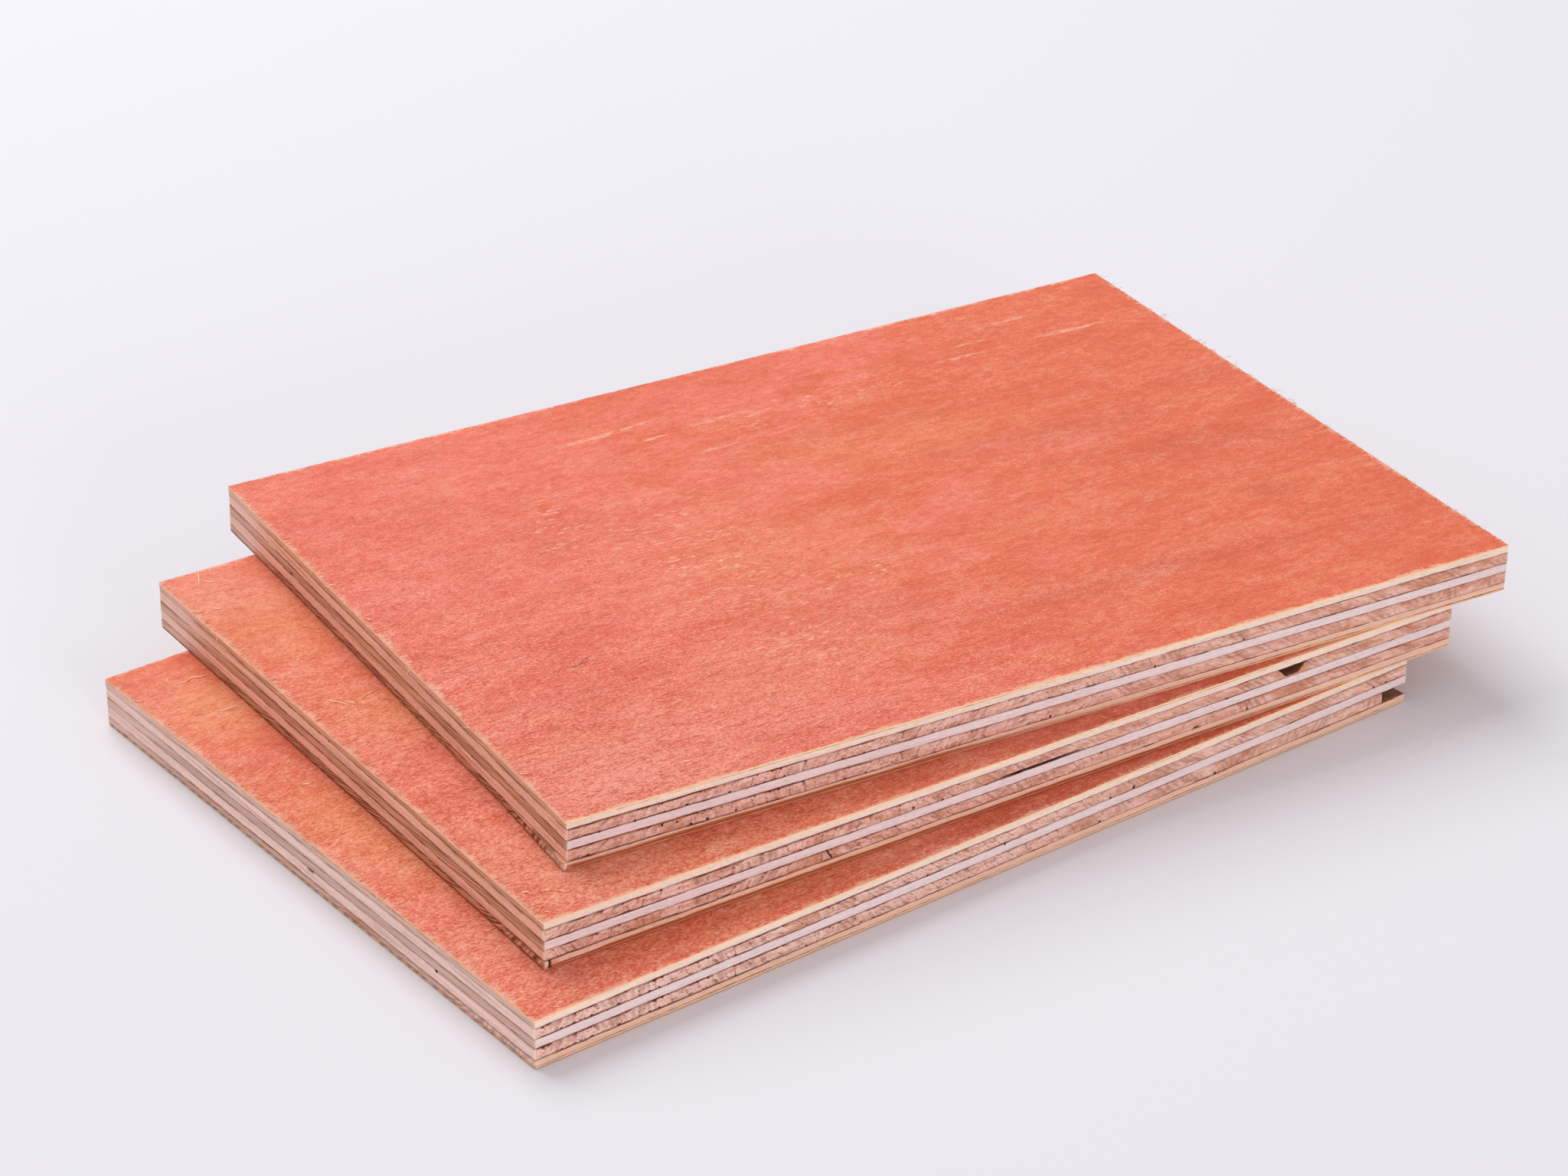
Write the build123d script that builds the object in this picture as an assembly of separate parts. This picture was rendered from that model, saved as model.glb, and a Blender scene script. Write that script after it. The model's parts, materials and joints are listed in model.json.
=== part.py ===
"""Three small plywood sheets, fanned out and resting flat on one another.

The origin is the centre of the bottom sheet's underside. X runs along that sheet's long edges,
Y across it and Z up. Every sheet is seven layers of wood glued face to face: a thin veneer on each
side and five plies between, whose grain runs along the sheet and across it by turns.
"""

from build123d import *
import os

# A sheet in plan
sheet_length = 250.0
sheet_width = 175.0

# Thickness of the layers that are alike in all three sheets
face_veneer = 0.5
upper_long_ply = 1.5
upper_cross_ply = 2.75
centre_ply = 2.3
back_veneer = 0.5

# Thickness of the two lower plies, which the sander left different in each sheet
bottom_sheet_lower_cross_ply = 2.85
bottom_sheet_lower_long_ply = 1.6
middle_sheet_lower_cross_ply = 2.6
middle_sheet_lower_long_ply = 1.85
top_sheet_lower_cross_ply = 2.9
top_sheet_lower_long_ply = 1.55

# Where the fanned sheets lie: the offset of each centre, and the turn about Z in degrees
middle_sheet_x = 17.35
middle_sheet_y = 5.71
middle_sheet_turn = -3.606
top_sheet_x = 37.85
top_sheet_y = 10.19
top_sheet_turn = -7.49

# Core gap: a hole in the front edge of the middle sheet, where its upper cross ply has no wood
core_gap_from_left = 196.8
core_gap_mouth = 8.5
core_gap_floor = 3.6
core_gap_left_slope = 2.3
core_gap_height = 2.35
core_gap_reach = 32.0

# Open glue line: a slit in the front edge of the middle sheet, under its upper cross ply
slit_from_left = 113.8
slit_length = 28.3
slit_height = 0.3
slit_reach = 6.0

# Broken corner of the bottom sheet's lower cross ply, at its front right corner
broken_corner_length = 8.0
broken_corner_reach = 7.0

# Tear-out: the last fibres under the top sheet's left edge, pushed out by the saw
tear_out_length = 31.0
tear_out_reach = 1.2

# Sheet edges, in a sheet's own frame
left_edge = -sheet_length / 2
right_edge = sheet_length / 2
front_edge = -sheet_width / 2


def stack_layers(lower_long_ply, lower_cross_ply):
    """The layers of one sheet as flat slabs by name, and the sheet's thickness."""
    thicknesses = {
        "back_veneer": back_veneer,
        "lower_long_ply": lower_long_ply,
        "lower_cross_ply": lower_cross_ply,
        "centre_ply": centre_ply,
        "upper_cross_ply": upper_cross_ply,
        "upper_long_ply": upper_long_ply,
        "face_veneer": face_veneer,
    }
    layers = {}
    height = 0.0
    for name, thickness in thicknesses.items():
        slab = Box(sheet_length, sheet_width, thickness, align=(Align.CENTER, Align.CENTER, Align.MIN))
        layers[name] = Pos(0, 0, height) * slab
        height += thickness
    return layers, height


def cut_core_gap(ply):
    """Open the core gap: a trapezium on the front edge, carried back along the ply's grain."""
    top = ply.bounding_box().max.Z
    left = left_edge + core_gap_from_left
    floor_left = left + core_gap_left_slope
    outline = Polyline(
        (left, top),
        (left + core_gap_mouth, top),
        (floor_left + core_gap_floor, top - core_gap_height),
        (floor_left, top - core_gap_height),
        close=True,
    )
    profile = Plane(origin=(0, front_edge, 0), x_dir=(1, 0, 0), z_dir=(0, -1, 0)) * make_face(outline)
    return ply - extrude(profile, amount=-core_gap_reach)


def cut_slit(ply):
    """Open the glue line under a ply along part of the front edge."""
    bottom = ply.bounding_box().min.Z
    slit = Box(slit_length, slit_reach, slit_height, align=(Align.MIN, Align.MIN, Align.MIN))
    return ply - Pos(left_edge + slit_from_left, front_edge, bottom) * slit


def break_corner(ply):
    """Take the front right corner off a ply, through its whole thickness."""
    box = ply.bounding_box()
    outline = Polyline(
        (right_edge - broken_corner_length, front_edge),
        (right_edge, front_edge),
        (right_edge, front_edge + broken_corner_reach),
        close=True,
    )
    chip = extrude(make_face(outline), amount=box.size.Z)
    return ply - Pos(0, 0, box.min.Z) * chip


def push_out_edge(layer):
    """Add the torn fibres that stand out of a layer's left edge beside the front corner."""
    box = layer.bounding_box()
    outline = Polyline(
        (left_edge, front_edge),
        (left_edge - tear_out_reach, front_edge),
        (left_edge, front_edge + tear_out_length),
        close=True,
    )
    fibres = extrude(make_face(outline), amount=box.size.Z)
    return layer + Pos(0, 0, box.min.Z) * fibres


def place_sheet(name, layers, x, y, height, turn):
    """Lay a sheet down in the stack and write one file for each of its layers."""
    for layer_name, layer in layers.items():
        placed = Pos(x, y, height) * Rot(0, 0, turn) * layer
        export_step(placed, f"parts/{name}_{layer_name}.step")


bottom_layers, bottom_thickness = stack_layers(bottom_sheet_lower_long_ply, bottom_sheet_lower_cross_ply)
bottom_layers["lower_cross_ply"] = break_corner(bottom_layers["lower_cross_ply"])

middle_layers, middle_thickness = stack_layers(middle_sheet_lower_long_ply, middle_sheet_lower_cross_ply)
middle_layers["upper_cross_ply"] = cut_slit(cut_core_gap(middle_layers["upper_cross_ply"]))

top_layers, top_thickness = stack_layers(top_sheet_lower_long_ply, top_sheet_lower_cross_ply)
top_layers["lower_long_ply"] = push_out_edge(top_layers["lower_long_ply"])
top_layers["back_veneer"] = push_out_edge(top_layers["back_veneer"])

middle_height = bottom_thickness
top_height = middle_height + middle_thickness
stack_height = top_height + top_thickness

os.makedirs("parts", exist_ok=True)
place_sheet("bottom_sheet", bottom_layers, 0, 0, 0, 0)
place_sheet("middle_sheet", middle_layers, middle_sheet_x, middle_sheet_y, middle_height, middle_sheet_turn)
place_sheet("top_sheet", top_layers, top_sheet_x, top_sheet_y, top_height, top_sheet_turn)
print(f"stack of three sheets, {stack_height:.2f} mm high")
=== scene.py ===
"""Three small plywood sheets, fanned out and resting flat on one another.

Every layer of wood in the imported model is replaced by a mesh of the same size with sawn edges, and
gets a finish of its own. The file is laid out as an add-on and is run as a script. A sheet's own
frame has its origin in the middle of its underside, X along its long edges and Z up. Sizes are in
millimetres unless a property says otherwise, and become metres when a mesh is written.
"""

import json
import math

import bpy
import numpy as np
from mathutils import Matrix, Vector, geometry

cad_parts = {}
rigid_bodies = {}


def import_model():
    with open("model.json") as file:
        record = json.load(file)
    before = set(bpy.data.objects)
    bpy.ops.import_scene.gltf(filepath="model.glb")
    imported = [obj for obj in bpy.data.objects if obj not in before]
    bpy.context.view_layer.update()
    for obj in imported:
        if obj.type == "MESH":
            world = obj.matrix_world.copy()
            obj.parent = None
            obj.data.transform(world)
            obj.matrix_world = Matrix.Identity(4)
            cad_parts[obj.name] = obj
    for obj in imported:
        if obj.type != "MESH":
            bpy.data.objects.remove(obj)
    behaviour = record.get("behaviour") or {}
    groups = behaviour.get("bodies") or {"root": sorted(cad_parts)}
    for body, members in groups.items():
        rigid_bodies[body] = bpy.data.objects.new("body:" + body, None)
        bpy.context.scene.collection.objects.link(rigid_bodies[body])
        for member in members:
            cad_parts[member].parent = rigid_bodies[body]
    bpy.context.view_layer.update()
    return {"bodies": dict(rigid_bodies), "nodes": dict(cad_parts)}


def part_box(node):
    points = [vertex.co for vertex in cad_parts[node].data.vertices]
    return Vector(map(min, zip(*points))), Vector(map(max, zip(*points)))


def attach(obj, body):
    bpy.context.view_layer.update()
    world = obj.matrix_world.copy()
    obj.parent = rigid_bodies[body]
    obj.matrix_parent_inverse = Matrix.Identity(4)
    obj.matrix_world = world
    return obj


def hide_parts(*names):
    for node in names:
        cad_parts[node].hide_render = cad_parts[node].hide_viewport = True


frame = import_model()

bl_info = {
    "name": "Plywood Stack",
    "version": (1, 0, 0),
    "blender": (4, 5, 0),
    "location": "View3D > Sidebar > Plywood",
    "description": "Dresses three fanned plywood sheets with sawn edges and stained faces",
    "category": "Object",
}

# One millimetre in metres, the body that everything rides on, each node's slot, and the sheets from
# the bottom up
MM = 0.001
BODY = next(iter(frame["bodies"]))
SHEETS = ("bottom_sheet", "middle_sheet", "top_sheet")

# Sides of a sheet, in the order in which its edge is walked
FRONT, RIGHT, BACK, LEFT = range(4)

# What the press, the saw and handling left on the front and left edges of each sheet: a kind, a layer
# where it keeps to one and a side, and then the measures of each mark. Places are from the left end of
# a front edge or from the front end of a left one, and heights are above the sheet's underside. A knot
# has its two ends, a dot a place, a height and a radius, and a crack a place, a lean, a width and a
# depth. A pocket has a place, a length, a height, half its opening and a depth.
EDGE_MARKS = {
    "top_sheet": {
        ("knot", "upper_cross_ply", FRONT): ((222, 231),),
        ("knot", "lower_cross_ply", FRONT): ((21.5, 27.5), (201, 206)),
        ("dot", None, FRONT): (
            (8.0, 7.2, 0.4), (16.5, 7.3, 0.45), (29.0, 7.5, 0.5), (39.5, 7.5, 0.5), (53.0, 7.4, 0.35),
            (23.0, 4.2, 0.45), (26.6, 4.0, 0.4), (5.2, 2.2, 0.45), (30.0, 2.4, 0.5), (34.0, 2.4, 0.5),
            (41.0, 2.5, 0.4), (104.0, 2.5, 0.35), (121.5, 2.5, 0.5), (149.5, 7.4, 0.45),
            (174.0, 7.5, 0.35)),
        ("pocket", None, FRONT): ((132.5, 4.5, 7.28, 0.2, 0.7), (162.0, 5.5, 7.2, 0.14, 0.7)),
        ("pocket", None, LEFT): ((41.5, 10.0, 5.0, 0.16, 0.8), (139.0, 2.6, 5.0, 0.28, 0.9)),
    },
    "middle_sheet": {
        ("knot", "lower_cross_ply", FRONT): ((19, 33), (62, 71.5), (194, 209)),
        ("knot", "upper_cross_ply", FRONT): ((109, 118), (66, 71)),
        ("crack", "lower_cross_ply", FRONT): ((72.0, -0.5, 0.28, 0.5),),
        ("crack", "lower_long_ply", FRONT): ((1.5, 0.0, 0.45, 1.2),),
        ("crack", "back_veneer", FRONT): ((1.5, 0.0, 0.45, 1.2),),
        ("pocket", None, FRONT): (
            (31.3, 3.9, 2.38, 0.22, 1.2), (68.5, 5.5, 7.3, 0.12, 0.6), (159.5, 3.6, 2.34, 0.24, 1.0),
            (173.2, 3.0, 2.38, 0.3, 1.2), (128.9, 27.0, 7.4, 0.2, 2.5)),
        ("dot", None, FRONT): (
            (29.0, 9.8, 0.4), (94.2, 7.8, 0.5), (102.0, 7.3, 0.45), (52.5, 7.3, 0.35), (188.0, 2.7, 0.45),
            (146.0, 4.8, 0.35), (182.0, 7.2, 0.35)),
        ("pocket", None, LEFT): ((38.0, 5.0, 9.9, 0.16, 0.7), (71.0, 2.2, 4.9, 0.24, 0.8)),
        ("dot", None, LEFT): ((92.0, 9.8, 0.35),),
    },
    "bottom_sheet": {
        ("knot", "upper_cross_ply", FRONT): ((65, 76), (160, 174), (214, 222), (237, 244)),
        ("knot", "lower_cross_ply", FRONT): ((141, 154), (187, 205)),
        ("knot", "lower_long_ply", LEFT): ((58, 76),),
        ("pocket", None, FRONT): ((43.5, 37.0, 1.95, 0.12, 0.5),),
        ("dot", None, FRONT): (
            (157.0, 7.4, 0.45), (164.0, 7.6, 0.65), (189.0, 2.2, 0.5), (239.0, 7.4, 0.45),
            (243.0, 7.5, 0.4), (104.0, 7.3, 0.4), (126.0, 7.1, 0.4), (154.0, 2.3, 0.4)),
        ("dot", None, LEFT): ((36.5, 4.75, 0.7),),
        ("pocket", None, LEFT): ((86.4, 3.8, 4.5, 0.32, 1.0), (123.0, 12.5, 4.7, 0.2, 1.0)),
    },
}

# How checks and growth rings lean on a front or left edge, as pairs of a place and the distance that
# a line moves away from the front left corner for each millimetre that it rises
LEANS = {
    ("top_sheet", "upper_cross_ply", FRONT): (
        (0, 1.3), (25, 1.0), (45, 0.3), (70, 0.2), (92, 0.9), (112, 0.8), (122, -0.8), (165, -0.5),
        (190, -1.4), (250, -1.3)),
    ("top_sheet", "lower_cross_ply", FRONT): (
        (0, 1.2), (25, 1.1), (33, -0.3), (70, -0.3), (85, 0.3), (125, 0.9), (132, 0.9), (135, -0.9),
        (150, -1.2), (185, -1.5), (212, -1.2), (222, -0.5), (235, -0.15), (250, -0.1)),
    ("middle_sheet", "upper_cross_ply", FRONT): (
        (0, 1.2), (14, 1.2), (30, 0.0), (60, -0.1), (75, 0.3), (100, -0.6), (125, -1.3), (250, -1.4)),
    ("middle_sheet", "lower_cross_ply", FRONT): (
        (0, -0.8), (9, -0.7), (12, 0.0), (40, 0.05), (44, 0.8), (62, 0.9), (71, -0.4), (75, -1.2),
        (110, -1.0), (150, -0.2), (180, -0.3), (195, -0.9), (250, -1.4)),
    ("bottom_sheet", "upper_cross_ply", FRONT): (
        (0, 0.0), (60, -0.6), (75, -1.2), (150, -1.0), (160, -0.9), (175, -1.5), (250, -1.2)),
    ("bottom_sheet", "lower_cross_ply", FRONT): (
        (0, 0.0), (55, -0.5), (75, -0.9), (125, -0.8), (150, -0.4), (165, -1.1), (185, -0.7),
        (200, 0.2), (215, 0.8), (235, 0.3), (250, 0.0)),
    ("top_sheet", "lower_long_ply", LEFT): ((0, 1.4), (18, 1.2), (34, -2.4), (60, -3.4), (175, -3.8)),
    ("middle_sheet", "lower_long_ply", LEFT): ((0, 1.2), (14, 0.8), (26, -2.2), (60, -3.2), (175, -3.6)),
    ("bottom_sheet", "lower_long_ply", LEFT): ((0, 1.5), (20, 1.5), (36, -2.2), (70, -3.2), (175, -3.6)),
}

# How far rings in a long ply's end grain lean on the left edge, the share of that on the right edge,
# and how far checks in a cross ply's end grain lean on the back edge, where nothing above says it
RING_LEANS = {"upper_long_ply": -7.0, "centre_ply": -11.0, "lower_long_ply": -3.4}
RIGHT_EDGE_SHARE = -0.8
CHECK_LEAN = 1.65

# The hole in the middle sheet's front edge, where its upper cross ply has no wood
HOLE_NODE = "middle_sheet_upper_cross_ply"
HOLE_LEFT, HOLE_RIGHT = 196.8, 205.3
HOLE_LEFT_SLOPE, HOLE_RIGHT_SLOPE = 2.3, 2.6
HOLE_HEIGHT, HOLE_REACH = 2.35, 32.0

# How the hole's mouth looks: the depth of its lip, how dark its walls and its lip are, how brown its
# wood is, and the middle and reach of the brown wood beside it
LIP_DEPTH = 0.5
HOLE_SHADE, LIP_SHADE, HOLE_BROWN = 0.38, 0.12, 1.7
BROWN_MIDDLE, BROWN_REACH = 201.0, (4.5, 6.5)

# The corner that is broken off the bottom sheet's lower cross ply
BROKEN_NODE = "bottom_sheet_lower_cross_ply"
BROKEN_LENGTH, BROKEN_REACH = 8.0, 7.0

# The fibres that the saw pushed out under the top sheet's left edge, which go a little round the corner
TORN_NODES = ("top_sheet_lower_long_ply", "top_sheet_back_veneer")
TORN_LENGTH, TORN_REACH, TORN_FRONT = 31.0, 1.15, 1.4

# Strokes of darker or warmer stain on the faces, with painted shade on the lower sheets' front strips
# and painted light at their near left ends, as a colour's name, a centre, half a length, half a width,
# a turn in degrees and a strength
FACE_STROKES = {
    "top_sheet": (
        ("rust", 65, 15, 36, 6.5, -5, 0.42),
        ("rust", 92, -8, 32, 8.5, -12, 0.42),
        ("rust", 48, -58, 74, 4.5, -3, 0.34),
        ("rust", 93, -37, 8, 6.5, 0, 0.4),
        ("rust", 115, 23, 16, 5.0, -4, 0.36),
        ("rust", 20, 42, 46, 4.0, -3, 0.2),
        ("rust", -92, -45, 16, 6.0, 4, 0.28),
        ("amber", -30, -8, 34, 40, 12, 0.22),
        ("amber", -42, -52, 34, 16, 0, 0.22),
        ("amber", 30, 30, 40, 16, -6, 0.2),
        ("blush", -100, 30, 24, 46, 0, 0.3),
        ("blush", -75, -14, 4, 3, 0, 0.4),
        ("bloom", -84, -66, 50, 22, 0, 0.13),
        ("bloom", -108, -80, 28, 16, 0, 0.3),
        ("bloom", -60, -6, 14, 6, 3, 0.14),
        ("rust", -60, 28, 26, 7, 4, 0.2),
        ("rust", -20, -40, 24, 5, 2, 0.16),
    ),
    "middle_sheet": (
        ("amber", -112, 55, 16, 26, 0, 0.5),
        ("amber", -108, 4, 14, 20, 20, 0.55),
        ("rust", -113, -34, 14, 8, 10, 0.3),
        ("amber", -60, -82, 40, 7, 0, 0.35),
        # Partly the stain's warmer colour, partly painted light: this stroke and the bloom one at (-108,
        # -66) lift the shade beside the sheet above
        ("amber", -98, -70, 26, 15, 0, 0.5),
        ("rust", 20, -78, 60, 5, 2, 0.3),
        # Painted shade: this stroke darkens the front strip where the sheet above shades it
        ("ember", 66, -84, 66, 9, 2, 0.6),
        ("rust", 60, 30, 50, 8, -4, 0.3),
        ("bloom", -114, 76, 18, 16, 0, 0.34),
        ("bloom", -108, -66, 22, 26, 0, 0.24),
        ("bloom", -112, -10, 14, 22, 0, 0.12),
        ("rim", 105, -88, 27, 2.2, 0, 0.85),
    ),
    "bottom_sheet": (
        ("amber", -112, 60, 12, 20, 0, 0.75),
        ("amber", -112, -8, 11, 34, 8, 0.65),
        ("rust", -118, 32, 12, 8, 0, 0.3),
        ("amber", -40, -80, 44, 7, 0, 0.4),
        # Partly the stain's warmer colour, partly painted light: this stroke and the bloom one at (-108,
        # -56) lift the shade beside the sheet above
        ("amber", -100, -66, 22, 20, 0, 0.3),
        # Painted shade: these two strokes darken the front strip where the sheet above shades it
        ("ember", 20, -84, 70, 8, 2, 0.5),
        ("ember", 88, -84, 50, 10, 2, 0.8),
        ("rust", 50, 20, 50, 8, 5, 0.3),
        ("bloom", -118, 74, 10, 14, 0, 0.2),
        ("bare", -112, 58.5, 9, 0.8, 0, 0.3),
        ("bloom", -108, -56, 20, 22, 0, 0.3),
    ),
}

# Thin scratches on the top sheet's face that the stain missed: a centre, half a length, half a
# width and a turn in degrees
PALE_SCRATCHES = (
    (-33, 67.3, 17, 1.1, 3), (-4, 61.5, 10, 0.8, 0), (66, 61.5, 7, 0.8, -2), (72, 67.5, 5.5, 0.7, 0),
    (101, 61.5, 12, 0.9, -3), (-12, 47.5, 6, 0.8, 0), (-24, 60, 6, 0.6, 2), (88, 74, 7, 0.6, 0),
)

# Patches of pale dashes on the top sheet's face: a centre, half a length, half a width and a turn
DASH_PATCHES = (
    (-44, -2, 26, 46, 4), (-40, -46, 24, 14, 0), (-17, -26, 22, 6, 0), (-70, -70.5, 22, 3, 0),
    (-66, 30, 10, 18, 0), (20, 58, 34, 7, 0),
)

# Loose fibres and splinters on the faces: a sheet and the points that each one passes through
SPLINTERS = (
    ("middle_sheet", ((-118.4, 17.2), (-116.8, 15.2), (-115.0, 12.6))),
    ("middle_sheet", ((-113.2, 15.3), (-113.0, 13.6), (-113.4, 11.8))),
    ("middle_sheet", ((-115.0, 14.4), (-114.3, 12.9), (-113.4, 11.8))),
    ("middle_sheet", ((-111.6, 13.2), (-110.0, 14.4), (-107.8, 15.0), (-105.9, 15.5))),
    ("middle_sheet", ((-122.8, -75.2), (-121.7, -75.5), (-121.4, -76.8))),
    ("middle_sheet", ((-119.2, -76.6), (-117.4, -77.4), (-115.6, -79.2), (-114.9, -79.8))),
    ("middle_sheet", ((-114.9, 86.6), (-116.2, 83.8), (-117.7, 80.7))),
    ("middle_sheet", ((-116.1, 82.4), (-114.9, 81.0), (-113.3, 80.3))),
    ("middle_sheet", ((-120.4, 69.4), (-119.4, 68.2), (-118.0, 67.9))),
    ("bottom_sheet", ((-113.2, 78.9), (-114.2, 77.6), (-114.3, 76.2))),
    ("bottom_sheet", ((-112.8, 75.3), (-110.6, 74.6), (-108.8, 75.7), (-106.4, 74.5), (-104.4, 74.9))),
    ("bottom_sheet", ((-112.0, 58.7), (-109.6, 58.1), (-107.6, 58.2), (-105.4, 57.5))),
    ("bottom_sheet", ((-113.6, 20.0), (-112.2, 19.1), (-110.8, 19.5))),
    ("top_sheet", ((-124.3, 11.8), (-123.4, 10.9), (-123.0, 11.4))),
    ("top_sheet", ((-124.6, 30.6), (-123.7, 30.0), (-123.4, 28.9))),
    ("top_sheet", ((-92.0, -78.0), (-90.8, -78.5), (-89.6, -78.2))),
)


def ink(red, green, blue):
    """A colour as a screen shows it, turned into the linear values that a shader takes."""
    shares = (red / 255, green / 255, blue / 255)
    return tuple(s / 12.92 if s <= 0.04045 else ((s + 0.055) / 1.055) ** 2.4 for s in shares)


def length_property(name, text, value):
    """A length in millimetres, kept in metres as Blender's own lengths are."""
    return bpy.props.FloatProperty(
        name=name, description=text, default=value * MM, min=0.0, precision=6,
        subtype="DISTANCE", unit="LENGTH",
    )


def colour_property(name, text, *screen):
    """A colour given as a screen shows it."""
    return bpy.props.FloatVectorProperty(
        name=name, description=text, default=ink(*screen), min=0.0, max=1.0, size=3, subtype="COLOR",
    )


class PlywoodSizes(bpy.types.PropertyGroup):
    """Sizes of the detail on the sheets."""

    column_step: length_property("Column step", "Distance between columns of vertices on an edge", 0.6)
    row_step: length_property("Row step", "Height between rows of vertices on an edge", 0.38)
    face_step: length_property("Face step", "Distance between vertices on an open face", 2.0)
    corner: length_property("Corner", "Radius of a sheet's sawn corners", 0.5)
    flush: length_property("Flush", "How far one layer stands out from the next on an edge", 0.1)
    saw_marks: length_property("Saw marks", "Depth of the saw's roughness on an edge", 0.05)
    groove: length_property("Groove", "Depth of the groove along a glue line", 0.14)
    end_recess: length_property("End recess", "How far plies are worn back on the right edges", 0.55)
    face_dip: length_property("Face dip", "Depth of the hollows in an open face", 0.05)
    check_depth: length_property("Check depth", "Depth of the lathe checks in end grain", 0.12)
    pore_depth: length_property("Pore depth", "Depth of the pores in a face", 0.05)
    fibre_radius: length_property("Fibre radius", "Radius of a loose fibre", 0.09)
    fibre_count: bpy.props.IntProperty(
        name="Fibres", description="Torn fibres along each short edge of a stained face",
        default=240, min=0, max=600,
    )


class PlywoodColours(bpy.types.PropertyGroup):
    """Colours of the wood, the stain and the floor."""

    salmon: colour_property("Salmon", "The stain over even wood", 241, 120, 97)
    orange: colour_property("Orange", "The stain where it is warm", 232, 110, 74)
    amber: colour_property("Amber", "The stain where the wood shows through", 236, 149, 88)
    # Painted shade: the stain as it looks in the shade on the strips between the sheets
    ember: colour_property("Ember", "The stain between the sheets, where light barely reaches", 196, 80, 34)
    rust: colour_property("Rust", "The stain over dark grain", 204, 92, 64)
    blush: colour_property("Blush", "The stain where it is pinkest", 240, 124, 111)
    bare: colour_property("Bare", "Pores and scratches that the stain missed", 253, 200, 172)
    bloom: colour_property("Bloom", "Fibres that took little stain", 255, 182, 160)
    pore: colour_property("Pore", "Pores and fibres that are full of stain", 206, 78, 58)
    rim: colour_property("Rim", "Long edges of the face veneer", 250, 210, 166)
    rim_end: colour_property("Rim end", "Short edges of the face veneer", 255, 201, 168)
    cream: colour_property("Cream", "Side grain of the upper long ply", 241, 214, 198)
    pale: colour_property("Pale", "Side grain of the centre ply", 232, 207, 205)
    peach: colour_property("Peach", "Side grain of the lower long ply", 232, 186, 162)
    toast: colour_property("Toast", "Brown streaks in side grain", 170, 82, 38)
    smooth: colour_property("Smooth", "Side grain of the bottom sheet's cross plies", 252, 214, 201)
    # Warmer than Smooth by painted warm light reflected from the stained sheet below
    ruddy: colour_property("Ruddy", "Side grain of the other sheets' cross plies", 246, 186, 160)
    cross: colour_property("Cross", "End grain of the cross plies", 226, 168, 150)
    check: colour_property("Check", "Lathe checks in the cross plies", 128, 66, 56)
    tan: colour_property("Tan", "End grain of the long plies", 241, 176, 138)
    ring: colour_property("Ring", "Growth rings in the long plies' end grain", 128, 64, 40)
    knot: colour_property("Knot", "Brown patches beside knots", 188, 116, 78)
    glue: colour_property("Glue", "Glue lines", 104, 38, 22)
    # In open joints, cracks, the hole and the broken corner this colour is painted shade; in dots it is the
    # wood's own dark
    gap: colour_property("Gap", "Open joints and burnt dots", 60, 25, 17)
    # Painted shade with red light reflected from the stained face below, at the foot of a back veneer
    foot: colour_property("Foot", "The foot of a back veneer that lies on stain", 166, 70, 32)
    back: colour_property("Back", "Late wood of the back veneer", 208, 146, 102)
    back_pale: colour_property("Back pale", "Early wood of the back veneer", 240, 186, 146)
    floor: colour_property("Floor", "The floor of the stage", 234, 232, 238)


class Sheet:
    """One sheet's own frame, read from the plan of its face veneer."""

    def __init__(self, name):
        points = frame["nodes"][f"{name}_face_veneer"].data.vertices
        plan = np.unique(np.array([v.co[:2] for v in points]).round(5), axis=0)
        if len(plan) != 4:
            raise RuntimeError(f"the face veneer of {name} has {len(plan)} corners in plan, not 4")
        start = plan[0]
        others = sorted(plan[1:], key=lambda corner: np.hypot(*(corner - start)))
        short, long = others[0] - start, others[1] - start
        long = long if long[0] > 0 else -long
        self.name = name
        self.length = float(np.hypot(*long)) / MM
        self.width = float(np.hypot(*short)) / MM
        self.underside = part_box(f"{name}_back_veneer")[0].z
        centre = Vector((*plan.mean(0), self.underside))
        turn = math.atan2(long[1], long[0])
        self.matrix = Matrix.Translation(centre) @ Matrix.Rotation(turn, 4, "Z")

    def layer(self, name):
        """The lower and upper height of one layer above the sheet's underside."""
        low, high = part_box(f"{self.name}_{name}")
        return (low.z - self.underside) / MM, (high.z - self.underside) / MM


def seed_of(*words):
    """A fixed number for these words, the same on each run."""
    total = 7
    for letter in "|".join(str(w) for w in words):
        total = (total * 131 + ord(letter)) % 1_000_003
    return total


def ripple(seed, along, up, cell_along, cell_up, around):
    """Smooth random values from -1 to 1 on a sawn edge, which meet after one turn round it."""
    cells = max(4, round(around / cell_along))
    across, rise = np.broadcast_arrays(along / around * cells, up / cell_up)
    rise = rise - rise.min()
    values = np.random.default_rng(seed).uniform(-1, 1, (cells, int(rise.max()) + 2))
    column, row = np.floor(across).astype(int), np.floor(rise).astype(int)
    share, lift = across - column, rise - row
    share, lift = share * share * (3 - 2 * share), lift * lift * (3 - 2 * lift)
    here, there = column % cells, (column + 1) % cells
    low = values[here, row] * (1 - share) + values[there, row] * share
    high = values[here, row + 1] * (1 - share) + values[there, row + 1] * share
    return low * (1 - lift) + high * lift


def ease(value, start, end):
    """0 at start and 1 at end, smooth between."""
    share = np.clip((value - start) / (end - start), 0, 1)
    return share * share * (3 - 2 * share)


# The way along each side and the corner where it starts, in the order in which the edge is walked
TRAVELS = ((1, 0), (0, 1), (-1, 0), (0, -1))
CORNERS = ((-1, -1), (1, -1), (1, 1), (-1, 1))

# Columns of vertices: their distance on fine stretches and their angles on a rounded corner
FINE_STEP = 0.2
ARC_ANGLES = (30, 60)

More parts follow.
